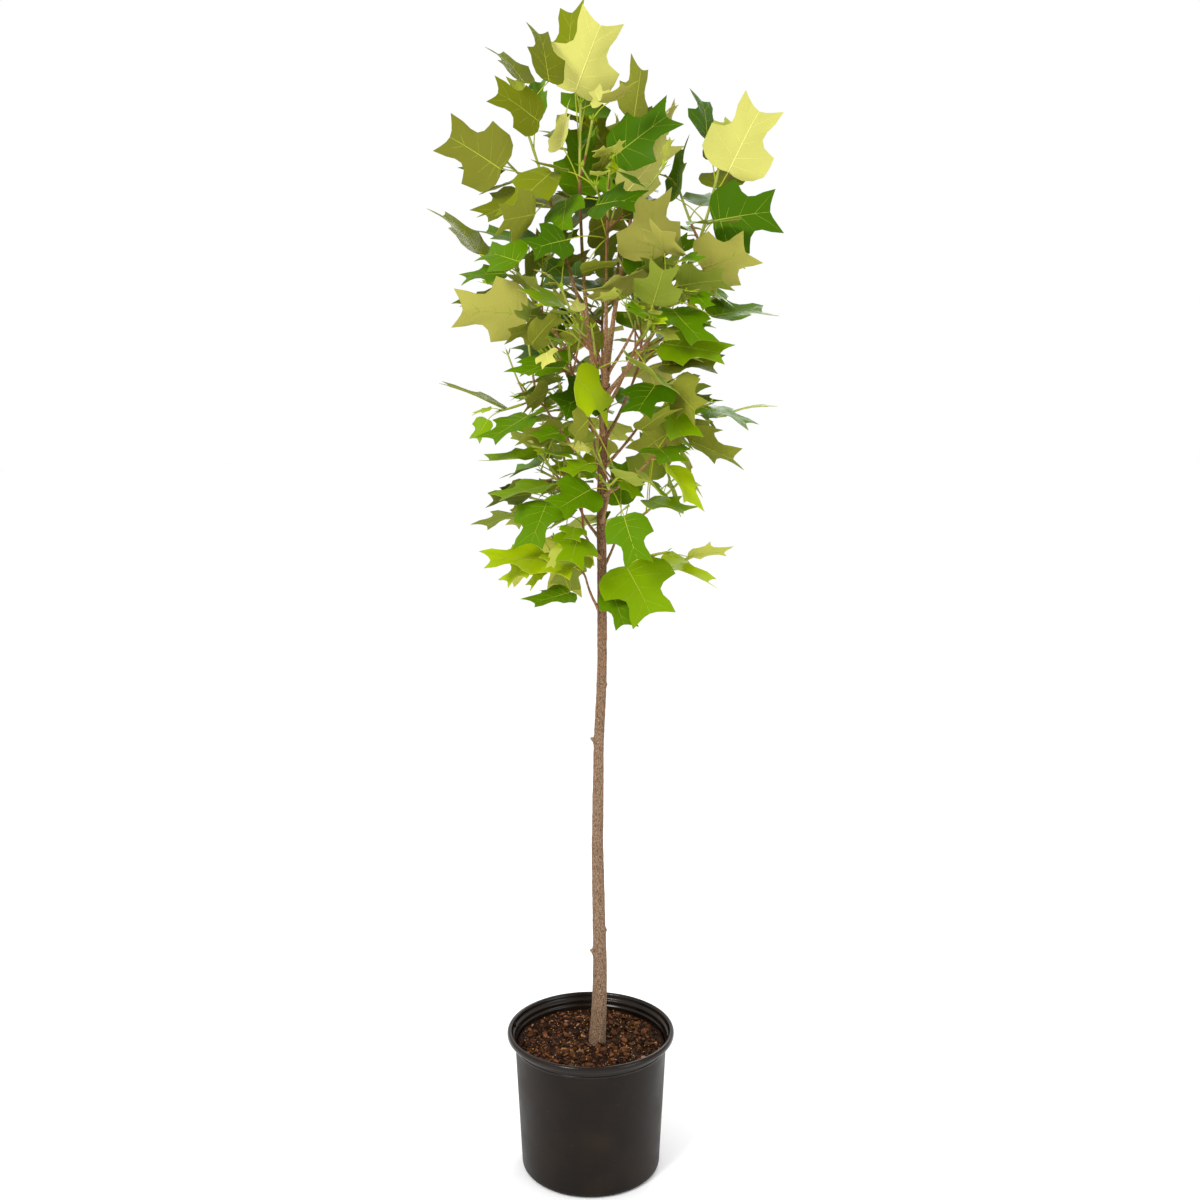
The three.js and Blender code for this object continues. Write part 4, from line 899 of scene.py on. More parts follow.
def is_in_crown(spots):
    heights, radii = CROWN_PROFILE.T
    inside = (spots[:, 2] > heights[0]) & (spots[:, 2] <= heights[-1])
    limit = np.where(inside, np.interp(spots[:, 2], heights, radii), 0)
    return bool(np.all(np.hypot(spots[:, 0] - CROWN_MIDDLE, spots[:, 1]) < limit))


def line_spots(start, end):
    steps = math.ceil(length(end - start) / SAMPLE)
    return start + (end - start) * (np.arange(steps + 1) / steps)[:, None]


def triangle_spots(a, b, c):
    steps = math.ceil(max(length(a - b), length(b - c), length(c - a)) / SAMPLE)
    i, j = np.mgrid[0:steps + 1, 0:steps + 1]
    keep = i + j <= steps
    i, j = i[keep][:, None], j[keep][:, None]
    return a * (1 - (i + j) / steps) + b * (i / steps) + c * (j / steps)


def clear_of(start, spots):
    away = spots - start
    return spots[np.sqrt((away * away).sum(1)) > CLEAR_OF_FOOT]


def limb_spots(centres, radii):
    spots = []
    for i in range(1, len(centres)):
        line = line_spots(centres[i - 1], centres[i])
        spots.append(line)
        for turn in range(0, 360, LIMB_SPOT_TURN):
            spots.append(line + heading(turn) * radii[i])
    return np.concatenate(spots)


# %% Leaves: corners of the folded blade, and whether it fits
def blade_corners(leaf):
    across = np.cross(leaf["along"], leaf["face"])

    def corner(out, run):
        spot = leaf["foot"] + across * out + leaf["along"] * (run * leaf["long"])
        return spot + leaf["face"] * (abs(out) * BLADE_FOLD)

    right = [corner(out * leaf["wide"] * 0.5, run) for out, run in BLADE_HALF]
    left = [corner(out * leaf["wide"] * -0.5, run) for out, run in BLADE_HALF]
    return [corner(0, 0), corner(0, BLADE_NOTCH), *right, *left]


def blade_spots(leaf):
    corners = blade_corners(leaf)
    return np.concatenate([triangle_spots(*(corners[i] for i in row)) for row in BLADE_TRIANGLES])


def leaf_fits(mass, leaf, ruled):
    blade = blade_spots(leaf)
    petiole = line_spots(leaf["node"], leaf["foot"])
    blade_cells, open_cells = cells_of(blade), cells_of(clear_of(leaf["node"], petiole))
    if not (is_clear(mass["name"], blade_cells) and is_clear(mass["name"], open_cells)):
        return False
    if not (is_free_of("blade", blade_cells) and is_free_of("blade", open_cells)):
        return False
    if not is_free_of("wood", blade_cells) or (ruled and not is_in_crown(blade)):
        return False
    claim(mass["name"], "blade", blade)
    claim(mass["name"], "wood", petiole)
    return True


# %% [markdown]
# From the tip of each bough a main shoot goes on in the bough's own direction and bends towards
# where its spray ends. A side twig forks from it at a steep angle, turned by dice, and is tried
# again with another turn until its way is free.

# %% Shoots and side twigs
def shoot_course(start, way, end):
    return start, start + way * (length(end - start) * SHOOT_BEND), end


def way_out(course, share, turn):
    along = course_way(course, share)
    side = np.cross(along, UP)
    side = RIGHT if length(side) < NEAR_UPRIGHT else unit(side)
    turn = math.radians(turn)
    return along, side * math.cos(turn) + np.cross(side, along) * math.sin(turn)


def course_spots(course):
    centres = course_points(course, SHOOT_STEPS)
    return np.concatenate([line_spots(centres[i], centres[i + 1]) for i in range(SHOOT_STEPS)])


def grow_main_shoot(mass):
    bough = bough_named[mass["bough"]]
    limb = bough_course(bough)
    way = course_way(limb, 1)
    start = limb[2] + way * SHOOT_CLEARANCE
    end = start + heading(mass["heading"]) * mass["reach"] + UP * mass["rise"]
    course = shoot_course(start, way, end)
    claim(mass["name"], "wood", course_spots(course))
    return {"course": course, "base": bough["tip"] / 2, "leaves": mass["leaves"]}


def grow_fork(mass, main, share, dice, long=FORK_LENGTH, leaves=FORK_LEAVES):
    for _ in range(TRIES):
        along, out = way_out(main["course"], share, 360 * next(dice))
        run = long * within(FORK_SPREAD, next(dice))
        split = math.radians(FORK_SPLIT)
        way = along * math.cos(split) + out * math.sin(split)
        start = on_course(main["course"], share)
        course = shoot_course(start, way, start + way * run + UP * (run * FORK_LIFT))
        spots = clear_of(start, course_spots(course))
        cells = cells_of(spots)
        if is_clear(mass["name"], cells) and is_free_of("wood", cells) and is_in_crown(spots):
            claim(mass["name"], "wood", spots)
            return {"course": course, "base": FORK_RADIUS, "leaves": leaves}
    return None


# %% [markdown]
# Round a shoot the leaves stand in steps of 137.5 degrees, so that none shades the next. Low on
# the shoot they are large and stand out, towards its tip they are smaller and more upright. Each
# hangs a little from its stalk and rolls a little, by dice.

# %% A leaf of the rule
def grow_leaf(mass, shoot, number, dice, smaller=1):
    share = within((FIRST_NODE, 1), (number / (shoot["leaves"] - 1)) ** NODE_CROWDING)
    for tried in range(TRIES):
        spread = within(TURN_SPREAD, next(dice))
        turn = mass["seed"] * TURN_RETRY + number * TURN_PER_LEAF + tried * TURN_RETRY + spread
        along, out = way_out(shoot["course"], share, turn)
        split = math.radians(within(SPLIT_ALONG, share) * within(SPLIT_SPREAD, next(dice)))
        petiole_way = along * math.cos(split) + out * math.sin(split)
        long = mass["size"] * within(SIZE_ALONG, share * share) * within(SIZE_SPREAD, next(dice))
        long = long * smaller
        reach = long * within(PETIOLE_SPREAD, next(dice)) * (1 - tried * PETIOLE_RETRY)
        node = on_course(shoot["course"], share)
        foot = node + petiole_way * reach
        hang = mass["droop"] * within(DROOP_SPREAD, next(dice))
        blade_way = unit(petiole_way - UP * hang)
        face = unit(UP - blade_way * (UP @ blade_way))
        face = turned(face, blade_way, within(ROLL_SPREAD, next(dice)))
        leaf = {"node": node, "foot": foot, "along": blade_way, "face": face, "long": long,
                "wide": long * within(WIDTH_SPREAD, next(dice)), "tone": None}
        if leaf_fits(mass, leaf, True):
            return leaf
    return None


# %% [markdown]
# A leaf placed by sight is known only as the camera sees it. Its foot and tip go back along the
# lines of sight to a guessed depth, its stalk to the nearest good place on the shoot, and other
# depths are tried where there is no room.

# %% A leaf of the outline, on the line of sight from the camera
def on_sight_line(spot, depth):
    share = (depth - EYE[1]) / -EYE[1]
    return np.array([within((EYE[0], spot[0]), share), depth, within((EYE[2], spot[1]), share)])


def nearest_node(shoot, foot, wanted):
    def cost(share):
        node = on_course(shoot["course"], share)
        return abs(length(node - foot) - wanted) + max(node[2] - foot[2], 0) * NODE_ABOVE_COST

    shares = [within(NODE_PLACES, i / NODE_STEPS) for i in range(NODE_STEPS + 1)]
    return on_course(shoot["course"], min(shares, key=cost))


def grow_edge_leaf(mass, shoot, edge):
    seen = math.hypot(edge["end"][0] - edge["foot"][0], edge["end"][1] - edge["foot"][1])
    run = edge["away"] * math.sqrt(max(edge["long"] ** 2 - seen ** 2, 0))
    for shift in DEPTH_SHIFTS:
        foot = on_sight_line(edge["foot"], edge["depth"] + shift)
        end = on_sight_line(edge["end"], edge["depth"] + shift + run)
        along = unit(end - foot)
        to_eye = unit(EYE - foot)
        open_way = unit(to_eye - along * (to_eye @ along))
        raised = np.cross(along, open_way)
        raised = -raised if raised[2] < 0 else raised
        tilt = math.radians(edge["tilt"])
        face = open_way * math.cos(tilt) + raised * math.sin(tilt)
        node = nearest_node(shoot, foot, edge["long"] * EDGE_PETIOLE)
        leaf = {"node": node, "foot": foot, "along": along, "face": face,
                "long": length(end - foot), "wide": edge["wide"], "tone": edge["tone"]}
        if leaf_fits(mass, leaf, False):
            return leaf
    return None


# %% [markdown]
# Growth goes in turns, so that no spray takes all the room: first every limb claims its space,
# then all shoots, then the outline leaves, and then the first leaf of every shoot, the second of
# every shoot, and so on. What finds no room is remembered for a smaller leaf later on.

# %% Growth: limbs, shoots, side twigs, outline leaves, then leaves all round
for lower, upper in zip(TRUNK_COURSE, TRUNK_COURSE[1:]):
    ends = [np.array([ring[1], 0.0, ring[0]]) for ring in (lower, upper)]
    claim("trunk", "wood", limb_spots(ends, [lower[2] / 2, upper[2] / 2]))
for bough in BOUGHS:
    centres = course_points(bough_course(bough), BOUGH_RINGS)
    claim(bough["name"], "wood", limb_spots(centres, [bough["base"] / 2] * len(centres)))

grown = {}
for mass in MASSES:
    grown[mass["name"]] = {"mass": mass, "dice": make_dice(mass["seed"]),
                           "shoots": [grow_main_shoot(mass)], "leaves": []}
for entry in grown.values():
    forks = entry["mass"]["forks"]
    for number in range(forks):
        share = within(FORK_PLACES, number / (forks - 1)) if forks > 1 else LONE_FORK_PLACE
        entry["shoots"].append(grow_fork(entry["mass"], entry["shoots"][0], share, entry["dice"]))
    entry["shoots"] = [shoot for shoot in entry["shoots"] if shoot]
for edge in EDGE_LEAVES:
    entry = grown[edge["mass"]]
    entry["leaves"].append(grow_edge_leaf(entry["mass"], entry["shoots"][0], edge))
missed = []
for number in range(max(mass["leaves"] for mass in MASSES)):
    for entry in grown.values():
        for shoot in entry["shoots"]:
            if number < shoot["leaves"]:
                leaf = grow_leaf(entry["mass"], shoot, number, entry["dice"])
                entry["leaves"].append(leaf)
                if not leaf:
                    missed.append((entry, shoot, number))
for entry in grown.values():
    entry["leaves"] = [leaf for leaf in entry["leaves"] if leaf]
print("leaves as in the solids:", sum(len(entry["leaves"]) for entry in grown.values()))

# %% [markdown]
# The trunk is smooth young bark over a slender, slightly bowed stem, 33 mm thick at the flare of
# its foot and 10 mm at the fork. A cylinder's upright edges are subdivided into rings of about
# 4 mm, which then move to the course. Pruned twigs left knobs, and each year's first growth left
# a fine ring round the stem. A displace modifier adds the shallow unevenness of the bark.

# %% Course and surface of the trunk
SMOOTH_REACH = 16
KNOBS = ((415, 195, 6), (455, 10, 4), (618, 285, 4.5), (811, 188, 6), (912, 330, 4.5))
KNOB_RISE = 0.6
RING_SCARS = ((262, 0.5), (303, 0.45), (347, 0.4), (548, 0.35), (912, 0.6), (1030, 0.4),
              (1133, 0.45), (1204, 0.4), (1290, 0.5))
SCAR_REACH = 1.9
SCAR_TILT = 1.2
TOP_FROM = 1456
TOP_RUN = 10
TOP_TAPER = 0.45


def trunk_row(heights, column):
    """A column of the trunk's course, smoothed so that it has no kinks."""
    spots = [np.interp(heights + shift, TRUNK_COURSE[:, 0], TRUNK_COURSE[:, column])
             for shift in (-SMOOTH_REACH, 0, SMOOTH_REACH)]
    return sum(spots) / len(spots)


def trunk_surface(turns, heights, lift=0):
    radii = trunk_row(heights, 2) / 2 + lift
    radii = radii * (1 - TOP_TAPER * np.clip((heights - TOP_FROM) / TOP_RUN, 0, 1) ** 2)
    for knob_height, knob_turn, size in KNOBS:
        apart = np.angle(np.exp(1j * (turns - math.radians(knob_turn)))) * radii
        far = (apart ** 2 + (heights - knob_height) ** 2) / size ** 2
        radii = radii + KNOB_RISE * size * np.exp(-far)
    for scar_height, size in RING_SCARS:
        tipped = heights - scar_height - SCAR_TILT * np.cos(turns + scar_height)
        radii = radii + size * np.exp(-(tipped / SCAR_REACH) ** 2)
    x = trunk_row(heights, 1) + np.cos(turns) * radii
    return np.column_stack([x, np.sin(turns) * radii, heights])


# %% Trunk as a mesh
TRUNK_SIDES = 48
TRUNK_SINK = 8
TRUNK_CUTS = (17, 17)
TRUNK_RELIEFS = ((22, 1.6), (6, 0.9))
FIRST_RADIUS = 10
trunk_foot, trunk_top = SOIL_LEVEL - TRUNK_SINK, TRUNK_COURSE[-1, 0]
bpy.ops.object.select_all(action="DESELECT")
bpy.ops.mesh.primitive_cylinder_add(vertices=TRUNK_SIDES, radius=FIRST_RADIUS * MM,
                                    depth=(trunk_top - trunk_foot) * MM,
                                    location=(0, 0, (trunk_top + trunk_foot) / 2 * MM))
trunk = bpy.context.object
trunk.name = "trunk_bark"
bpy.ops.object.transform_apply(location=True, rotation=False, scale=False)
bpy.context.tool_settings.mesh_select_mode = (False, True, False)
for cuts in TRUNK_CUTS:
    pick(trunk, lambda x, y, z: False)
    corners = trunk.data.vertices
    for edge in trunk.data.edges:
        a, b = (corners[i].co for i in edge.vertices)
        edge.select = abs(a.z - b.z) > MM
    bpy.ops.object.mode_set(mode="EDIT")
    bpy.ops.mesh.subdivide(number_cuts=cuts)
    bpy.ops.object.mode_set(mode="OBJECT")
bpy.context.tool_settings.mesh_select_mode = (True, False, False)
places = places_of(trunk)
set_places(trunk, trunk_surface(np.arctan2(places[:, 1], places[:, 0]), places[:, 2]))


def roughen(piece, size, strength):
    """Moves the surface in and out by a cloud pattern, sizes in millimetres."""
    pattern = bpy.data.textures.new(f"{piece.name}_relief", "CLOUDS")
    pattern.noise_scale = size * MM
    pattern.noise_depth = 2
    relief = piece.modifiers.new("relief", "DISPLACE")
    relief.texture = pattern
    relief.strength = strength * MM
    relief.mid_level = 0.5
    work_on(piece)
    bpy.ops.object.modifier_apply(modifier=relief.name)


for size, strength in TRUNK_RELIEFS:
    roughen(trunk, size, strength)
finish_edges(trunk, SOFT_CREASE)
print("trunk corners", len(trunk.data.vertices))

# %% [markdown]
# Pores speckle the bark as pale, slightly raised dots, wider than tall and a millimetre or two
# across. Each is a low six-sided dome. Two pruning stubs stand on the knobs.

# %% Pores and stubs
PORE_COUNT = 900
PORE_SPAN = (250, 1440)
PORE_CROWDING = 1.15
PORE_SIZES = (0.45, 1.05)
PORE_WIDTH, PORE_HEIGHT = 1.3, 0.8
PORE_SINK, PORE_LEAST, PORE_RISE = 0.35, 0.15, 0.4
STUB_KNOBS = (KNOBS[0], KNOBS[3])
STUB_ABOVE, STUB_SINK, STUB_UPWARD = 1, 2.5, 0.9
STUB_RUNS = (0, 3, 4.6, 5.6, 6)
STUB_RADII = (3.4, 2.9, 2.9, 2.4, 1.2)
pore_dice = np.random.default_rng(29)
pore_heights = within(PORE_SPAN, pore_dice.random(PORE_COUNT) ** PORE_CROWDING)
pore_turns = pore_dice.uniform(0, 2 * math.pi, PORE_COUNT)
pore_sizes = pore_dice.uniform(*PORE_SIZES, PORE_COUNT)
pores = Basket()
PORE_FACES = [(6, i, (i + 1) % 6) for i in range(6)] + [(5, 4, 3, 2, 1, 0)]
for height, turn, size in zip(pore_heights, pore_turns, pore_sizes):
    turns = turn + np.cos(ring_turns) * size * PORE_WIDTH / (trunk_row(height, 2) / 2)
    heights = height + np.sin(ring_turns) * size * PORE_HEIGHT
    dome = trunk_surface(turn, height, PORE_LEAST + PORE_RISE * size)
    pores.put(np.vstack([trunk_surface(turns, heights, -PORE_SINK), dome]), PORE_FACES)
for height, turn, _ in STUB_KNOBS:
    start = trunk_surface(math.radians(turn), height + STUB_ABOVE, -STUB_SINK)[0]
    way = unit(heading(turn) + UP * STUB_UPWARD)
    pores.put(*tube([start + way * run for run in STUB_RUNS], STUB_RADII, sides=12), 1)
pore_finish = new_material("pale_corky_pore", "#bfae8e", 0.85)
stub_finish = new_material("weathered_twig_stub", "#8d7357", 0.8)
for finish in (pore_finish, stub_finish):
    add_grain(finish, 900, 0.5, 0.0004, detail=3)
bark_pores = pores.as_piece("bark_pores", [pore_finish, stub_finish])

# %% [markdown]
# Boughs are bevelled curves with a radius at each point, which is the usual way for limbs. Each
# starts inside the trunk, swells where it leaves it, and has faint rings at its old leaf scars.
# As a mesh they get the same kind of relief as the trunk.

# %% Boughs
BOUGH_POINTS = 40
COLLAR_SWELL = 0.75
COLLAR_REACH = 7
SCAR_SPACING = 31
SCAR_SWELL = 0.13
SCAR_WIDTH = 2.4
BOUGH_RELIEF = (5, 0.7)
limbs = bpy.data.curves.new("boughs", "CURVE")
limbs.dimensions = "3D"
limbs.bevel_depth = MM
limbs.bevel_resolution = 6
limbs.use_fill_caps = True
for bough in BOUGHS:
    centres = np.array(course_points(bough_course(bough), BOUGH_POINTS - 1))
    runs = np.concatenate([[0], np.cumsum(np.linalg.norm(np.diff(centres, axis=0), axis=1))])
    radii = np.linspace(bough["base"] / 2, bough["tip"] / 2, BOUGH_POINTS)
    inside = trunk_row(bough["height"], 2) / 2
    radii = radii * (1 + COLLAR_SWELL * np.exp(-np.clip(runs - inside, 0, None) / COLLAR_REACH))
    scars = (runs + bough["heading"]) % SCAR_SPACING - SCAR_SPACING / 2
    radii = radii * (1 + SCAR_SWELL * np.exp(-(scars / SCAR_WIDTH) ** 2))
    branch = limbs.splines.new("POLY")
    branch.points.add(BOUGH_POINTS - 1)
    for point, centre, radius in zip(branch.points, centres, radii):
        point.co = (*(centre * MM), 1)
        point.radius = radius
boughs = bpy.data.objects.new("bough_bark", limbs)
bpy.context.scene.collection.objects.link(boughs)
work_on(boughs)
bpy.ops.object.convert(target="MESH")
boughs = bpy.context.object
roughen(boughs, *BOUGH_RELIEF)
finish_edges(boughs, SOFT_CREASE)
print("bough corners", len(boughs.data.vertices))

# %% [markdown]
# The bark is grey-brown low down, warmer above a metre and reddish brown on the boughs, mottled
# by patches of a few millimetres with darker flecks between. This year's wood above about 1.6 m
# is yellow-green.

# %% Bark finishes
def bark_finish(name, pale, dark, low_tint, high_tint, low, high):
    """Mottled bark whose tint goes from one colour to another between two heights in metres."""
    material = new_material(name, pale, 0.75, specular=0.25)
    place = add_node(material, "TexCoord").outputs["Object"]
    upright = add_node(material, "Mapping", {"Vector": place, "Scale": (600, 600, 300)})
    mottle = add_node(material, "TexNoise",
                      {"Vector": upright, "Scale": 1, "Detail": 6, "Roughness": 0.6})
    mottle_share = add_node(material, "MapRange",
                            {"Value": mottle, "From Min": 0.38, "From Max": 0.6})
    mottled = add_node(material, "MixRGB",
                       {"Fac": mottle_share, "Color1": linear(dark), "Color2": linear(pale)})
    height = add_node(material, "SeparateXYZ", {"Vector": place}).outputs["Z"]
    patches = add_node(material, "TexNoise", {"Vector": place, "Scale": 38, "Detail": 3})
    wander = add_node(material, "Math", {0: patches, 1: 0.3}, operation="MULTIPLY")
    reach = add_node(material, "Math", {0: height, 1: wander})
    high_share = add_node(material, "MapRange", {"Value": reach, "From Min": low, "From Max": high})
    tint = add_node(material, "MixRGB",
                    {"Fac": high_share, "Color1": linear(low_tint), "Color2": linear(high_tint)})
    bark = add_node(material, "MixRGB",
                    {"Fac": 1, "Color1": mottled, "Color2": tint}, blend_type="MULTIPLY")
    link_input(material, "Base Color", bark)
    relief = add_node(material, "Bump", {"Strength": 0.6, "Distance": 0.0008, "Height": mottle})
    link_input(material, "Normal", relief)
    return material


# %% Bark on trunk and boughs
trunk_bark = bark_finish("smooth_grey_brown_bark", "#9a816a", "#4a392b", "#f4ece4", "#e8c49c",
                         0.9, 1.5)
bough_bark = bark_finish("thin_reddish_brown_bark", "#b48a62", "#6e4d31", "#ffffff", "#cfdc70",
                         1.7, 1.82)
paint(trunk, trunk_bark)
paint(boughs, bough_bark)
for piece in (trunk, boughs):
    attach(piece, "root")
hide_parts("trunk")
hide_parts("trunk")
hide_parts(*[bough["name"] for bough in BOUGHS])

# %% [markdown]
# Near its tip the left leader has one small bright orange scar, where a bud scale fell off. A ball
# could stand there, but a scar is a low oval cushion with a sunken middle. So a ball is flattened
# against the bark, and the corners at its front pole are pushed in.

# %% Orange bud scar
SCAR_SIZE = (2.7, 1.6, 3.3)
SCAR_SHARE = 0.985
SCAR_HOLLOW = 0.5
SCAR_POLE_FROM = -0.9
left_leader = bough_named["left_leader"]
scar_place = on_course(bough_course(left_leader), SCAR_SHARE) + (0, -left_leader["tip"] / 2, 0)
bpy.ops.object.select_all(action="DESELECT")
bpy.ops.mesh.primitive_uv_sphere_add(segments=14, ring_count=10, radius=MM,
                                     rotation=(math.radians(90), 0, 0))
bud_scar = bpy.context.object
bud_scar.name = "orange_bud_scar"
bpy.ops.object.transform_apply(location=False, rotation=True, scale=False)
pick(bud_scar, lambda x, y, z: y < SCAR_POLE_FROM)
bpy.ops.object.mode_set(mode="EDIT")
bpy.ops.transform.translate(value=(0, SCAR_HOLLOW * MM, 0))
bpy.ops.object.mode_set(mode="OBJECT")
set_places(bud_scar, places_of(bud_scar) * SCAR_SIZE + scar_place)
bpy.ops.object.shade_smooth()
raw_scar = new_material("raw_orange_bud_scar", "#d9602a", 0.6)
add_grain(raw_scar, 1400, 0.3, 0.0002)
paint(bud_scar, raw_scar)
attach(bud_scar, "root")
print("orange bud scar at", np.round(scar_place, 1), "mm")

# %% [markdown]
# The solids leave out what is too fine for them. The same rule now goes on: places where a leaf
# of full size didn't fit are tried again with a smaller one, side twigs with younger leaves fill
# the inner crown, and each shoot ends in two small new leaves beside its bud. The masses at the
# crown's edge get no finer twigs, because the photograph shows sky between their leaves. Before
# that come the leaves that close the middle of the crown in the photograph, placed by sight in
# the same way as those of the outline. Solids had to stand a cell apart. From here on leaves may
# come close together, as they do on the tree, as long as they don't pass through each other.

# %% Leaves of the inner crown
nearby[:] = 0
claimed_round = [(0, 0, 0)]
INNER_LEAVES = table(
    EDGE_FIELDS,
    ("crown_left", (-108, 1749), (-174, 1724), -50, 1, 84, 80, 45, "mid"),
    ("crown_left", (-90, 1711), (-153, 1698), -84, -1, 92, 84, 150, "olive"),
    ("front_crown", (-49, 1733), (-56, 1673), -60, -1, 84, 86, 38, "mid"),
    ("front_crown", (10, 1725), (83, 1740), -96, -1, 96, 84, 60, "dark"),
    ("crown_right", (0, 1682), (63, 1711), -24, 1, 96, 80, 140, "olive"),
    ("left_spray", (-116, 1634), (-182, 1653), -30, 1, 88, 82, 40, "mid"),
    ("front_crown", (-39, 1669), (-104, 1656), -84, -1, 84, 72, 35, "dark"),
    ("front_crown", (-13, 1617), (47, 1634), -120, 0, 78, 60, 110, "olive"),
    ("front_right_spray", (20, 1634), (83, 1630), -100, -1, 90, 76, 40, "mid"),
    ("front_spray", (27, 1601), (24, 1559), -110, -1, 84, 84, 35, "mid"),
    ("left_spur_leaves", (-75, 1536), (-145, 1526), -64, -1, 88, 66, 48, "dark"),
    ("left_spur_leaves", (-97, 1513), (-46, 1572), -96, 1, 92, 60, 145, "olive"),
    ("back_left_spray", (17, 1509), (-57, 1486), 60, 1, 96, 92, 150, "olive"),
    ("front_spray", (20, 1416), (-57, 1393), -120, -1, 108, 98, 30, "dark"),
    ("front_right_spray", (110, 1431), (78, 1383), -110, -1, 84, 92, 32, "dark"),
    ("right_arm_leaves", (138, 1430), (183, 1379), -60, -1, 96, 80, 150, "olive"),
    ("right_low_arm_leaves", (95, 1356), (159, 1403), -74, -1, 96, 56, 125, "olive"),
    ("right_low_arm_leaves", (136, 1352), (78, 1318), -40, 1, 92, 84, 150, "olive"),
    ("front_mid_leaves", (-3, 1373), (-34, 1339), -100, -1, 72, 60, 140, "olive"),
    ("left_low_spur_leaves", (-64, 1352), (-139, 1346), -50, -1, 92, 74, 130, "olive"),
    ("left_arm_leaves", (-71, 1420), (-115, 1393), -34, -1, 70, 64, 125, "olive"),
    ("left_low_spur_leaves", (-51, 1329), (-116, 1318), -84, -1, 84, 70, 55, "mid"),
    ("right_low_leaves", (38, 1076), (60, 1009), -64, -1, 80, 70, 25, "mid"),
    ("crown_top", (10, 1885), (-6, 1913), -40, 0, 56, 50, 150, "yellow"),
)
INNER_TRIES = ((1, 0, 0), (0.9, 10, 0), (0.9, -10, 0), (0.85, 0, 12), (0.85, 0, -12), (0.8, 16, 8),
               (0.8, -16, 8), (0.75, 16, -14), (0.75, -16, -14), (0.7, 0, 22), (0.7, 0, -22))
for inner in INNER_LEAVES:
    entry = grown[inner["mass"]]
    (x, z), (end_x, end_z) = inner["foot"], inner["end"]
    for smaller, aside, up in INNER_TRIES:
        moved = dict(inner, foot=(x + aside, z + up), long=inner["long"] * smaller,
                     end=(x + aside + (end_x - x) * smaller, z + up + (end_z - z) * smaller),
                     wide=inner["wide"] * smaller)
        leaf = grow_edge_leaf(entry["mass"], entry["shoots"][0], moved)
        if leaf:
            entry["leaves"].append(leaf)
            break
    if not leaf:
        print("no room for", inner["mass"], inner["foot"])

# %% Finer twigs and younger leaves, by the same rule
SMALLER = (0.74, 0.52)
FINE_TWIG_LENGTH = 62
FINE_TWIG_LEAVES = 3
FINE_TWIG_PLACES = (0.28, 0.84)
FINE_LEAF_SIZE = 0.7
TIP_LEAF_SIZES = (0.62, 0.44)

for entry in grown.values():
    entry["first_fine"] = len(entry["leaves"])
for entry, shoot, number in missed:
    for smaller in SMALLER:
        leaf = grow_leaf(entry["mass"], shoot, number, entry["dice"], smaller)
        if leaf:
            entry["leaves"].append(leaf)
            break
for entry in grown.values():
    mass, dice = entry["mass"], entry["dice"]
    entry["twigs"] = []
    for number in range(mass["finer"]):
        share = within(FINE_TWIG_PLACES, (number + 0.5) / mass["finer"])
        twig = grow_fork(mass, entry["shoots"][0], share, dice, FINE_TWIG_LENGTH, FINE_TWIG_LEAVES)
        if twig:
            entry["twigs"].append(twig)
            for leaf_number in range(FINE_TWIG_LEAVES):
                entry["leaves"].append(grow_leaf(mass, twig, leaf_number, dice, FINE_LEAF_SIZE))
for entry in grown.values():
    for shoot in entry["shoots"] + entry["twigs"]:
        for smaller in TIP_LEAF_SIZES:
            leaf = grow_leaf(entry["mass"], shoot, shoot["leaves"] - 1, entry["dice"], smaller)
            if leaf:
                leaf["young"] = True
            entry["leaves"].append(leaf)

# %% [markdown]
# The photograph shows white between the sprays, much of the trunk and the leader in front of the
# leaves, and the large leaves placed by sight with little before them. So a leaf of the rule is
# taken off again where it would lie mostly in one of these windows, cross that wood or hide such
# a leaf, a finer one sooner than one that the solids have too. Each window is a round place in
# the plane of the trunk, as the camera sees it.

# %% Open places in the crown
WINDOWS = ((-143, 1470, 54), (219, 1254, 58), (111, 1185, 44), (-103, 1162, 41), (-114, 1820, 41),
           (37, 1866, 30), (178, 1805, 37), (160, 1178, 40), (84, 1206, 26), (198, 1274, 34),
           (-137, 1408, 24), (-149, 1873, 26), (190, 1436, 26), (-140, 1322, 22), (222, 1426, 22),
           (131, 1741, 22))
WOOD_SEEN = ((20, 1040), (20, 1133), (19, 1228), (22, 1322), (24, 1420), (14, 1473), (4, 1531),
             (-6, 1588), (-15, 1645), (-19, 1709), (-21, 1781), (-26, 1873))
WOOD_MARGIN = 9
LIMITS = {"window": 0.5, "wood": 0.12, "placed": 0.3}
FINER_LIMITS = {"window": 0.26, "wood": 0.065, "placed": 0.12}
SEEN_CELL = 8


def as_seen(leaf):
    """Where the camera sees the spots of a blade in the trunk's plane, and how deep they lie."""
    spots = blade_spots(leaf)
    share = -EYE[1] / (spots[:, 1] - EYE[1])
    x, z = (EYE[i] + (spots[:, i] - EYE[i]) * share for i in (0, 2))
    cells = set(zip((x // SEEN_CELL).tolist(), (z // SEEN_CELL).tolist()))
    return x, z, spots[:, 1], cells


placed_leaves = [as_seen(leaf) for entry in grown.values() for leaf in entry["leaves"]
                 if leaf and leaf["tone"]]


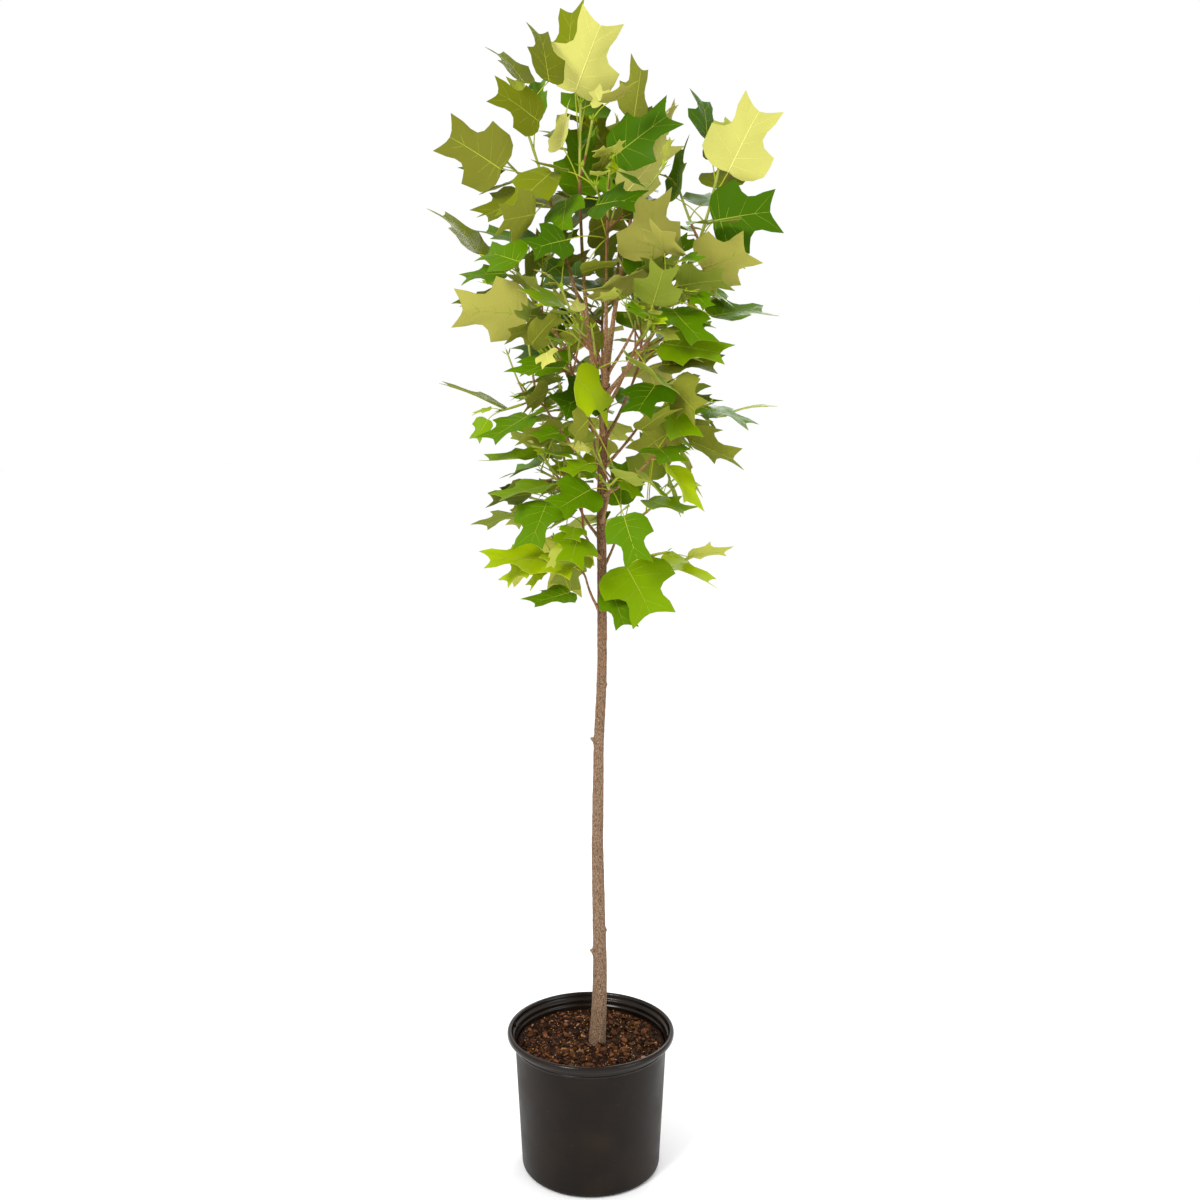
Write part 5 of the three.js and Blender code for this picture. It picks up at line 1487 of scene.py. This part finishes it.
def is_in_the_way(leaf, limits):
    x, z, depth, cells = as_seen(leaf)
    if any(np.mean(np.hypot(x - a, z - b) < radius) > limits["window"] for a, b, radius in WINDOWS):
        return True
    heights = [height for _, height in WOOD_SEEN]
    lane = np.interp(z, heights, [place for place, _ in WOOD_SEEN])
    across = (np.abs(x - lane) < WOOD_MARGIN) & (z > heights[0]) & (z < heights[-1]) & (depth < 0)
    if np.mean(across) > limits["wood"]:
        return True
    return any(depth.mean() < deep.mean() and len(cells & behind) > limits["placed"] * len(behind)
               for _, _, deep, behind in placed_leaves)


# %% Leaves taken off
taken_off = 0
for entry in grown.values():
    kept = []
    for number, leaf in enumerate(entry["leaves"]):
        limits = FINER_LIMITS if number >= entry["first_fine"] else LIMITS
        if leaf and (leaf["tone"] or not is_in_the_way(leaf, limits)):
            kept.append(leaf)
        elif leaf:
            taken_off += 1
    entry["leaves"] = kept
leaf_counts = {name: len(entry["leaves"]) for name, entry in grown.items()}
print("leaves in all:", sum(leaf_counts.values()), "taken off:", taken_off)
print("by mass:", leaf_counts)

# %% [markdown]
# A tulip poplar's blade is unlike any other tree's: as wide as it is long, with a broad rounded
# foot, two side lobes that point out and up, a deep round bay above each, and two upper lobes
# with a shallow notch between them in place of a tip. It is laid out once for the right half, as
# points along its rim, each tied to a place on the midrib by the way that the side veins run, so
# that the faces follow the veins. Two skins half a millimetre apart make it a closed leaf.

# %% The blade's pattern
RIM_HALF = (
    (0.20, -0.02, 0.02), (0.46, -0.015, 0.04), (0.72, 0.045, 0.07), (0.91, 0.15, 0.10),
    (0.96, 0.29, 0.14), (1.0, 0.445, 0.19), (0.82, 0.465, 0.25), (0.63, 0.495, 0.32),
    (0.485, 0.57, 0.39), (0.48, 0.68, 0.46), (0.56, 0.81, 0.54), (0.60, 1.0, 0.62),
    (0.37, 0.93, 0.70), (0.18, 0.88, 0.78),
)
SHALLOW_NOTCH = 0.855
INNER_SHARE = 0.48
LEAF_THICKNESS = 0.6
LEAF_CREASE = 50
rim = np.array(RIM_HALF)
stations = len(rim)


def half_points(side):
    """Inner and rim points of one half, each as across and along shares."""
    out = np.column_stack([rim[:, 0] * side, rim[:, 1]])
    return midrib + (out - midrib) * INNER_SHARE, out


midrib = np.column_stack([np.zeros(stations), rim[:, 2]])
midrib_points = np.vstack([(0, 0), midrib, (0, SHALLOW_NOTCH)])
skin = np.vstack([midrib_points, *half_points(1), *half_points(-1)])
skin_count = len(skin)
print("points of one skin:", skin_count)

# %% Faces of a blade
def half_faces(first, side):
    """Triangles between midrib, inner and rim points, cut alike on both skins."""
    inner, outer = first, first + stations
    rows = [(0, 1, inner), (0, inner, outer)]
    for i in range(stations - 1):
        for a, b, c, d in ((i + 1, i + 2, inner + i + 1, inner + i),
                           (inner + i, inner + i + 1, outer + i + 1, outer + i)):
            rows += [(a, b, c), (a, c, d)]
    last = stations - 1
    rows += [(stations, stations + 1, inner + last), (inner + last, stations + 1, outer + last)]
    return [row if side < 0 else row[::-1] for row in rows]


top_faces = half_faces(stations + 2, 1) + half_faces(3 * stations + 2, -1)
under_faces = [tuple(corner + skin_count for corner in reversed(face)) for face in top_faces]
right_rim = [2 * stations + 2 + i for i in range(stations)]
left_rim = [4 * stations + 2 + i for i in range(stations)]
edge_loop = [0, *right_rim, stations + 1, *reversed(left_rim)]
edge_faces = []
for a, b in zip(edge_loop, edge_loop[1:] + edge_loop[:1]):
    edge_faces.append((a, a + skin_count, b + skin_count, b))
BLADE_FACES = top_faces + under_faces + edge_faces
print("faces of one blade:", len(BLADE_FACES))

# %% [markdown]
# No two leaves hang alike. Each gets its own fold along the midrib, an arch across each half, a
# curl towards the tips, a slow ripple of the rim and a little sideways sweep, all dealt by dice
# of its own. The amounts stay small, so that a leaf keeps to the space of its solid.

# %% How a blade bends
FOLD_SPREAD = (0.8, 1.5)
ARCH_SPREAD = (0.04, 0.26)
CURL_SPREAD = (-0.05, 0.42)
RIPPLE_SPREAD = (0.05, 0.13)
SWEEP_SPREAD = (-0.06, 0.06)
CURL_START = 0.4
RIPPLE_WAVES = 1.7
RIPPLE_SHIFT = 0.3


def bend_of(dice):
    return {"fold": BLADE_FOLD * within(FOLD_SPREAD, next(dice)),
            "arch": within(ARCH_SPREAD, next(dice)), "curl": within(CURL_SPREAD, next(dice)),
            "ripple": within(RIPPLE_SPREAD, next(dice)), "sweep": within(SWEEP_SPREAD, next(dice)),
            "phase": next(dice)}


def blade_surface(leaf, bend, shares):
    """Places in millimetres of points given as shares across (-1 to 1) and along (0 to 1)."""
    x, y = shares[:, 0], shares[:, 1]
    half, long = leaf["wide"] / 2, leaf["long"]
    wave = np.sin(2 * math.pi * (RIPPLE_WAVES * y + bend["phase"] + RIPPLE_SHIFT * np.sign(x)))
    lift = bend["fold"] * np.abs(x) * half - bend["arch"] * half * x * x
    lift = lift - bend["curl"] * long * np.clip(y - CURL_START, 0, None) ** 2
    lift = lift + bend["ripple"] * half * x * x * wave
    out = x * half + bend["sweep"] * long * y * y
    across = np.cross(leaf["along"], leaf["face"])
    return (leaf["foot"] + across * out[:, None] + leaf["along"] * (y * long)[:, None]
            + leaf["face"] * lift[:, None])


# %% [markdown]
# On the plant the upper side of a leaf is glossy and from dark green to lime, the underside is
# matt and grey-green, and the youngest leaves are pale yellow-green on both sides. Every blade
# has two plain colours, one for each side, dealt out by its spray and its place: dark and olive
# high in the crown, lime low down. One dull dark olive among them is painted shade: leaves on the
# crown's left that face the key light get it, darker than their own colour. The fine net of veins
# between the big ones is too small for a mesh, so it is a bump, with a slight unevenness of the
# gloss.

# %% Leaf finishes
NET_SIZE_MM = 5.5
WAX_SHINE = 0.06
GLOSSIER, DULLER = 0.08, 0.1
# The last tone, a dull dark olive, is painted shade for leaves on the crown's left that face the
# key light.
TONES = {
    "dark": ("#3c5f01", "#6c7a22"), "mid": ("#557a02", "#7a862c"),
    "bright": ("#6f8f02", "#929a3a"), "lime": ("#9db406", "#b2b44a"),
    "olive": ("#6e780c", "#80842a"), "yellow": ("#bcba58", "#bfbd62"),
    "pale": ("#a0a83c", "#a39f49"), "moss": ("#666e0c", "#6b6d20"),
}


def leaf_finish(name, colour, roughness, bump):
    material = new_material(name, colour, roughness, ior=1.45, specular=WAX_SHINE)
    place = add_node(material, "TexCoord").outputs["Object"]
    net = add_node(material, "TexVoronoi",
                   {"Vector": place, "Scale": 1000 / NET_SIZE_MM}, feature="DISTANCE_TO_EDGE")
    quilt = add_node(material, "MapRange", {"Value": net, "From Max": 0.25, "To Max": 1})
    relief = add_node(material, "Bump", {"Strength": bump, "Distance": 0.0007, "Height": quilt})
    patches = add_node(material, "TexNoise", {"Vector": place, "Scale": 45, "Detail": 3})
    gloss = add_node(material, "MapRange",
                     {"Value": patches, "From Min": 0.3, "From Max": 0.7,
                      "To Min": roughness - GLOSSIER, "To Max": roughness + DULLER})
    link_input(material, "Normal", relief)
    link_input(material, "Roughness", gloss)
    return material


tone_names = list(TONES)
leaf_materials = []
for tone, (upper, under) in TONES.items():
    leaf_materials.append(leaf_finish(f"waxy_{tone}_leaf_upper_side", upper, 0.42, 0.14))
    leaf_materials.append(leaf_finish(f"matt_{tone}_leaf_underside", under, 0.72, 0.22))
vein_finish = leaf_finish("pale_green_vein", "#a3ad3c", 0.55, 0.1)
young_vein_finish = leaf_finish("pale_yellow_vein", "#e9e48e", 0.55, 0.1)
stalk_finish = leaf_finish("smooth_yellow_green_stalk", "#a8ac2e", 0.45, 0.1)
print("leaf finishes:", len(leaf_materials))

# %% Which tone a leaf has
PALE_ABOVE = 1880
YELLOW_YOUNG_FROM = 0.62
PALE_SPRAYS = ("right_spray", "front_right_spray", "crown_right")
TONE_SHARES = (
    # High in the crown the dull dark olive of painted shade is also dealt at random, as a tone of
    # its own.
    (1700, (("dark", 0.25), ("mid", 0.5), ("moss", 0.65), ("olive", 0.8), ("pale", 1))),
    (1400, (("dark", 0.2), ("mid", 0.55), ("olive", 0.7), ("bright", 0.88), ("pale", 1))),
    (1200, (("dark", 0.1), ("mid", 0.45), ("bright", 0.75), ("lime", 0.88), ("pale", 1))),
    (0, (("mid", 0.25), ("bright", 0.5), ("lime", 0.85), ("pale", 1))),
)


def tone_of(leaf, name, first_roll, dice):
    if leaf["tone"]:
        return leaf["tone"]
    roll = (first_roll + next(dice)) / 2
    if leaf["foot"][2] > PALE_ABOVE:
        return "pale"
    if leaf.get("young"):
        return "yellow" if roll > YELLOW_YOUNG_FROM else "lime"
    row = next(shares for height, shares in TONE_SHARES if leaf["foot"][2] >= height)
    tone = next(tone for tone, limit in row if roll <= limit)
    return "pale" if name in PALE_SPRAYS and tone in ("moss", "olive") else tone


# %% [markdown]
# The big veins stand proud of both sides of a leaf, so each is a slender rod that lies in the
# blade, along a row of its corners so that it never dips under. They are drawn half as thick
# again as life, since a true one is under a pixel wide here.

# %% Veins and stalks
SIDE_VEIN_STATIONS = (1, 3, 5, 8, 11)
VEIN_END = 0.94
MIDRIB_ROWS = [0, 3, 6, 8, 10, 12, 14, stations + 1]
MIDRIB_RADII = (1.2, 0.45)
SIDE_VEIN_RADII = (0.66, 0.52, 0.36)
STALK_RADII = (1.25, 0.95)
STALK_STEPS = 6
STALK_ARCH = 0.07
STALK_FOOT_SWELLING = 1.5
SIZE_OF_FULL_LEAF = 110


def thickness_of(leaf, least):
    """Share of the full thickness, which a smaller leaf has less of."""
    return least + (1 - least) * min(leaf["long"] / SIZE_OF_FULL_LEAF, 1)


def put_veins(basket, leaf, surface, kind):
    scale = thickness_of(leaf, least=0.5)
    radii = np.linspace(*MIDRIB_RADII, len(MIDRIB_ROWS)) * scale
    basket.put(*tube(surface[MIDRIB_ROWS], radii, sides=4), kind)
    for first in (stations + 2, 3 * stations + 2):
        for station in SIDE_VEIN_STATIONS:
            start, middle, end = surface[[station + 1, first + station, first + stations + station]]
            centres = (start, middle, middle + (end - middle) * VEIN_END)
            basket.put(*tube(centres, np.array(SIDE_VEIN_RADII) * scale, sides=3), kind)


def put_stalk(basket, leaf):
    run = leaf["foot"] - leaf["node"]
    steps = np.linspace(0, 1, STALK_STEPS)[:, None]
    arch = UP * (length(run) * STALK_ARCH) * 4 * steps * (1 - steps)
    centres = leaf["node"] + run * steps + arch
    centres[-1] += leaf["along"]
    radii = np.linspace(*STALK_RADII, STALK_STEPS)
    radii[0] *= STALK_FOOT_SWELLING
    basket.put(*tube(centres, radii * thickness_of(leaf, least=0.6), sides=6))


# %% Leaves, veins and stalks as joined meshes
LEAF_DICE_SHIFT = 7
blades, veins, stalks = Basket(), Basket(), Basket()
for name, entry in grown.items():
    leaf_dice = make_dice(entry["mass"]["seed"] + LEAF_DICE_SHIFT)
    for leaf in entry["leaves"]:
        first_roll = next(leaf_dice)
        bend = bend_of(leaf_dice)
        tone = tone_of(leaf, name, first_roll, leaf_dice)
        upper = 2 * tone_names.index(tone)
        surface = blade_surface(leaf, bend, skin)
        half = leaf["face"] * (LEAF_THICKNESS / 2)
        kinds = [upper] * len(top_faces) + [upper + 1] * (len(under_faces) + len(edge_faces))
        blades.put(np.vstack([surface + half, surface - half]), BLADE_FACES, kinds)
        put_veins(veins, leaf, surface, 1 if tone == "yellow" else 0)
        put_stalk(stalks, leaf)
leaf_blades = blades.as_piece("leaf_blades", leaf_materials, sharp=LEAF_CREASE)
leaf_veins = veins.as_piece("leaf_veins", [vein_finish, young_vein_finish])
leaf_stalks = stalks.as_piece("leaf_stalks", [stalk_finish])
for piece in (leaf_blades, leaf_veins, leaf_stalks):
    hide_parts(*grown)

# %% [markdown]
# Young wood: reddish brown where it grows on from the bough, and yellow-green towards its tip,
# with a slight swelling at each leaf's foot. Each shoot ends in a bud like a duck's bill, flat
# and blunt, held between two small leaf-like stipules.

# %% Shoots and buds
SHOOT_SIDES = 8
SHOOT_DRAWN_STEPS = 14
GREEN_FROM = 0.42
NODE_SWELLING = 0.45
NODE_REACH = 5
BUD_LENGTH = 11
BUD_RADII = (0.9, 1.9, 2.3, 1.9, 1.0, 0.3)
STIPULE_LENGTH = 10
STIPULE_WIDTH = 2.6
STIPULE_CURL = 2.2
STIPULE_AHEAD, STIPULE_OUT, STIPULE_FOOT = 0.75, 0.65, 1.4
STIPULE_STEPS = 6
STIPULE_SWELLING = (0.08, 0.98)
STIPULE_EDGE = 0.15
THIN_TWIG = 0.75
shoots, buds = Basket(), Basket()


def put_shoot(shoot, nodes, thin):
    centres = np.array(course_points(shoot["course"], SHOOT_DRAWN_STEPS))
    radii = np.linspace(shoot["base"], SHOOT_TIP_RADIUS, SHOOT_DRAWN_STEPS + 1) * thin
    for node in nodes:
        away = np.linalg.norm(centres - node, axis=1)
        radii = radii + NODE_SWELLING * np.exp(-(away / NODE_REACH) ** 2)
    points, faces = tube(centres, radii, SHOOT_SIDES)
    kinds = [int(face[0] >= GREEN_FROM * len(points)) for face in faces]
    shoots.put(points, faces, kinds)


def put_bud(shoot, turn):
    tip = shoot["course"][2]
    way = course_way(shoot["course"], 1)
    runs = np.linspace(-1, BUD_LENGTH, len(BUD_RADII))
    buds.put(*tube([tip + way * run for run in runs], BUD_RADII, sides=8, flatten=0.55))
    steps = np.linspace(0, 1, STIPULE_STEPS)
    radii = STIPULE_WIDTH * np.sin(math.pi * within(STIPULE_SWELLING, steps)) + STIPULE_EDGE
    for side in (0, 180):
        out = way_out(shoot["course"], 1, turn + side)[1]
        stipule_way = unit(way * STIPULE_AHEAD + out * STIPULE_OUT)
        middle = tip + out * STIPULE_FOOT + stipule_way * (steps * STIPULE_LENGTH)[:, None]
        middle = middle + way * (STIPULE_CURL * steps ** 2)[:, None]
        buds.put(*tube(middle, radii, sides=8, flatten=0.14), 1)


# %% Every shoot with its bud
for entry in grown.values():
    nodes = [leaf["node"] for leaf in entry["leaves"]]
    for shoot in entry["shoots"]:
        put_shoot(shoot, nodes, 1)
    for twig in entry["twigs"]:
        put_shoot(twig, nodes, THIN_TWIG)
    for number, shoot in enumerate(entry["shoots"] + entry["twigs"]):
        put_bud(shoot, entry["mass"]["seed"] + number * TURN_PER_LEAF)
young_bark = new_material("smooth_reddish_young_bark", "#8c5a36", 0.6)
green_bark = new_material("smooth_yellow_green_bark", "#8f9a2c", 0.5)
for material in (young_bark, green_bark):
    add_grain(material, 420, 0.35, 0.0004)
green_shoots = shoots.as_piece("green_shoots", [young_bark, green_bark])
bud_finish = leaf_finish("smooth_green_bud", "#869a1c", 0.45, 0.1)
stipule_finish = leaf_finish("thin_pale_green_stipule", "#9ab32a", 0.5, 0.2)
tip_buds = buds.as_piece("tip_buds", [bud_finish, stipule_finish])
for piece in (green_shoots, tip_buds):
    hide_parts(*grown)
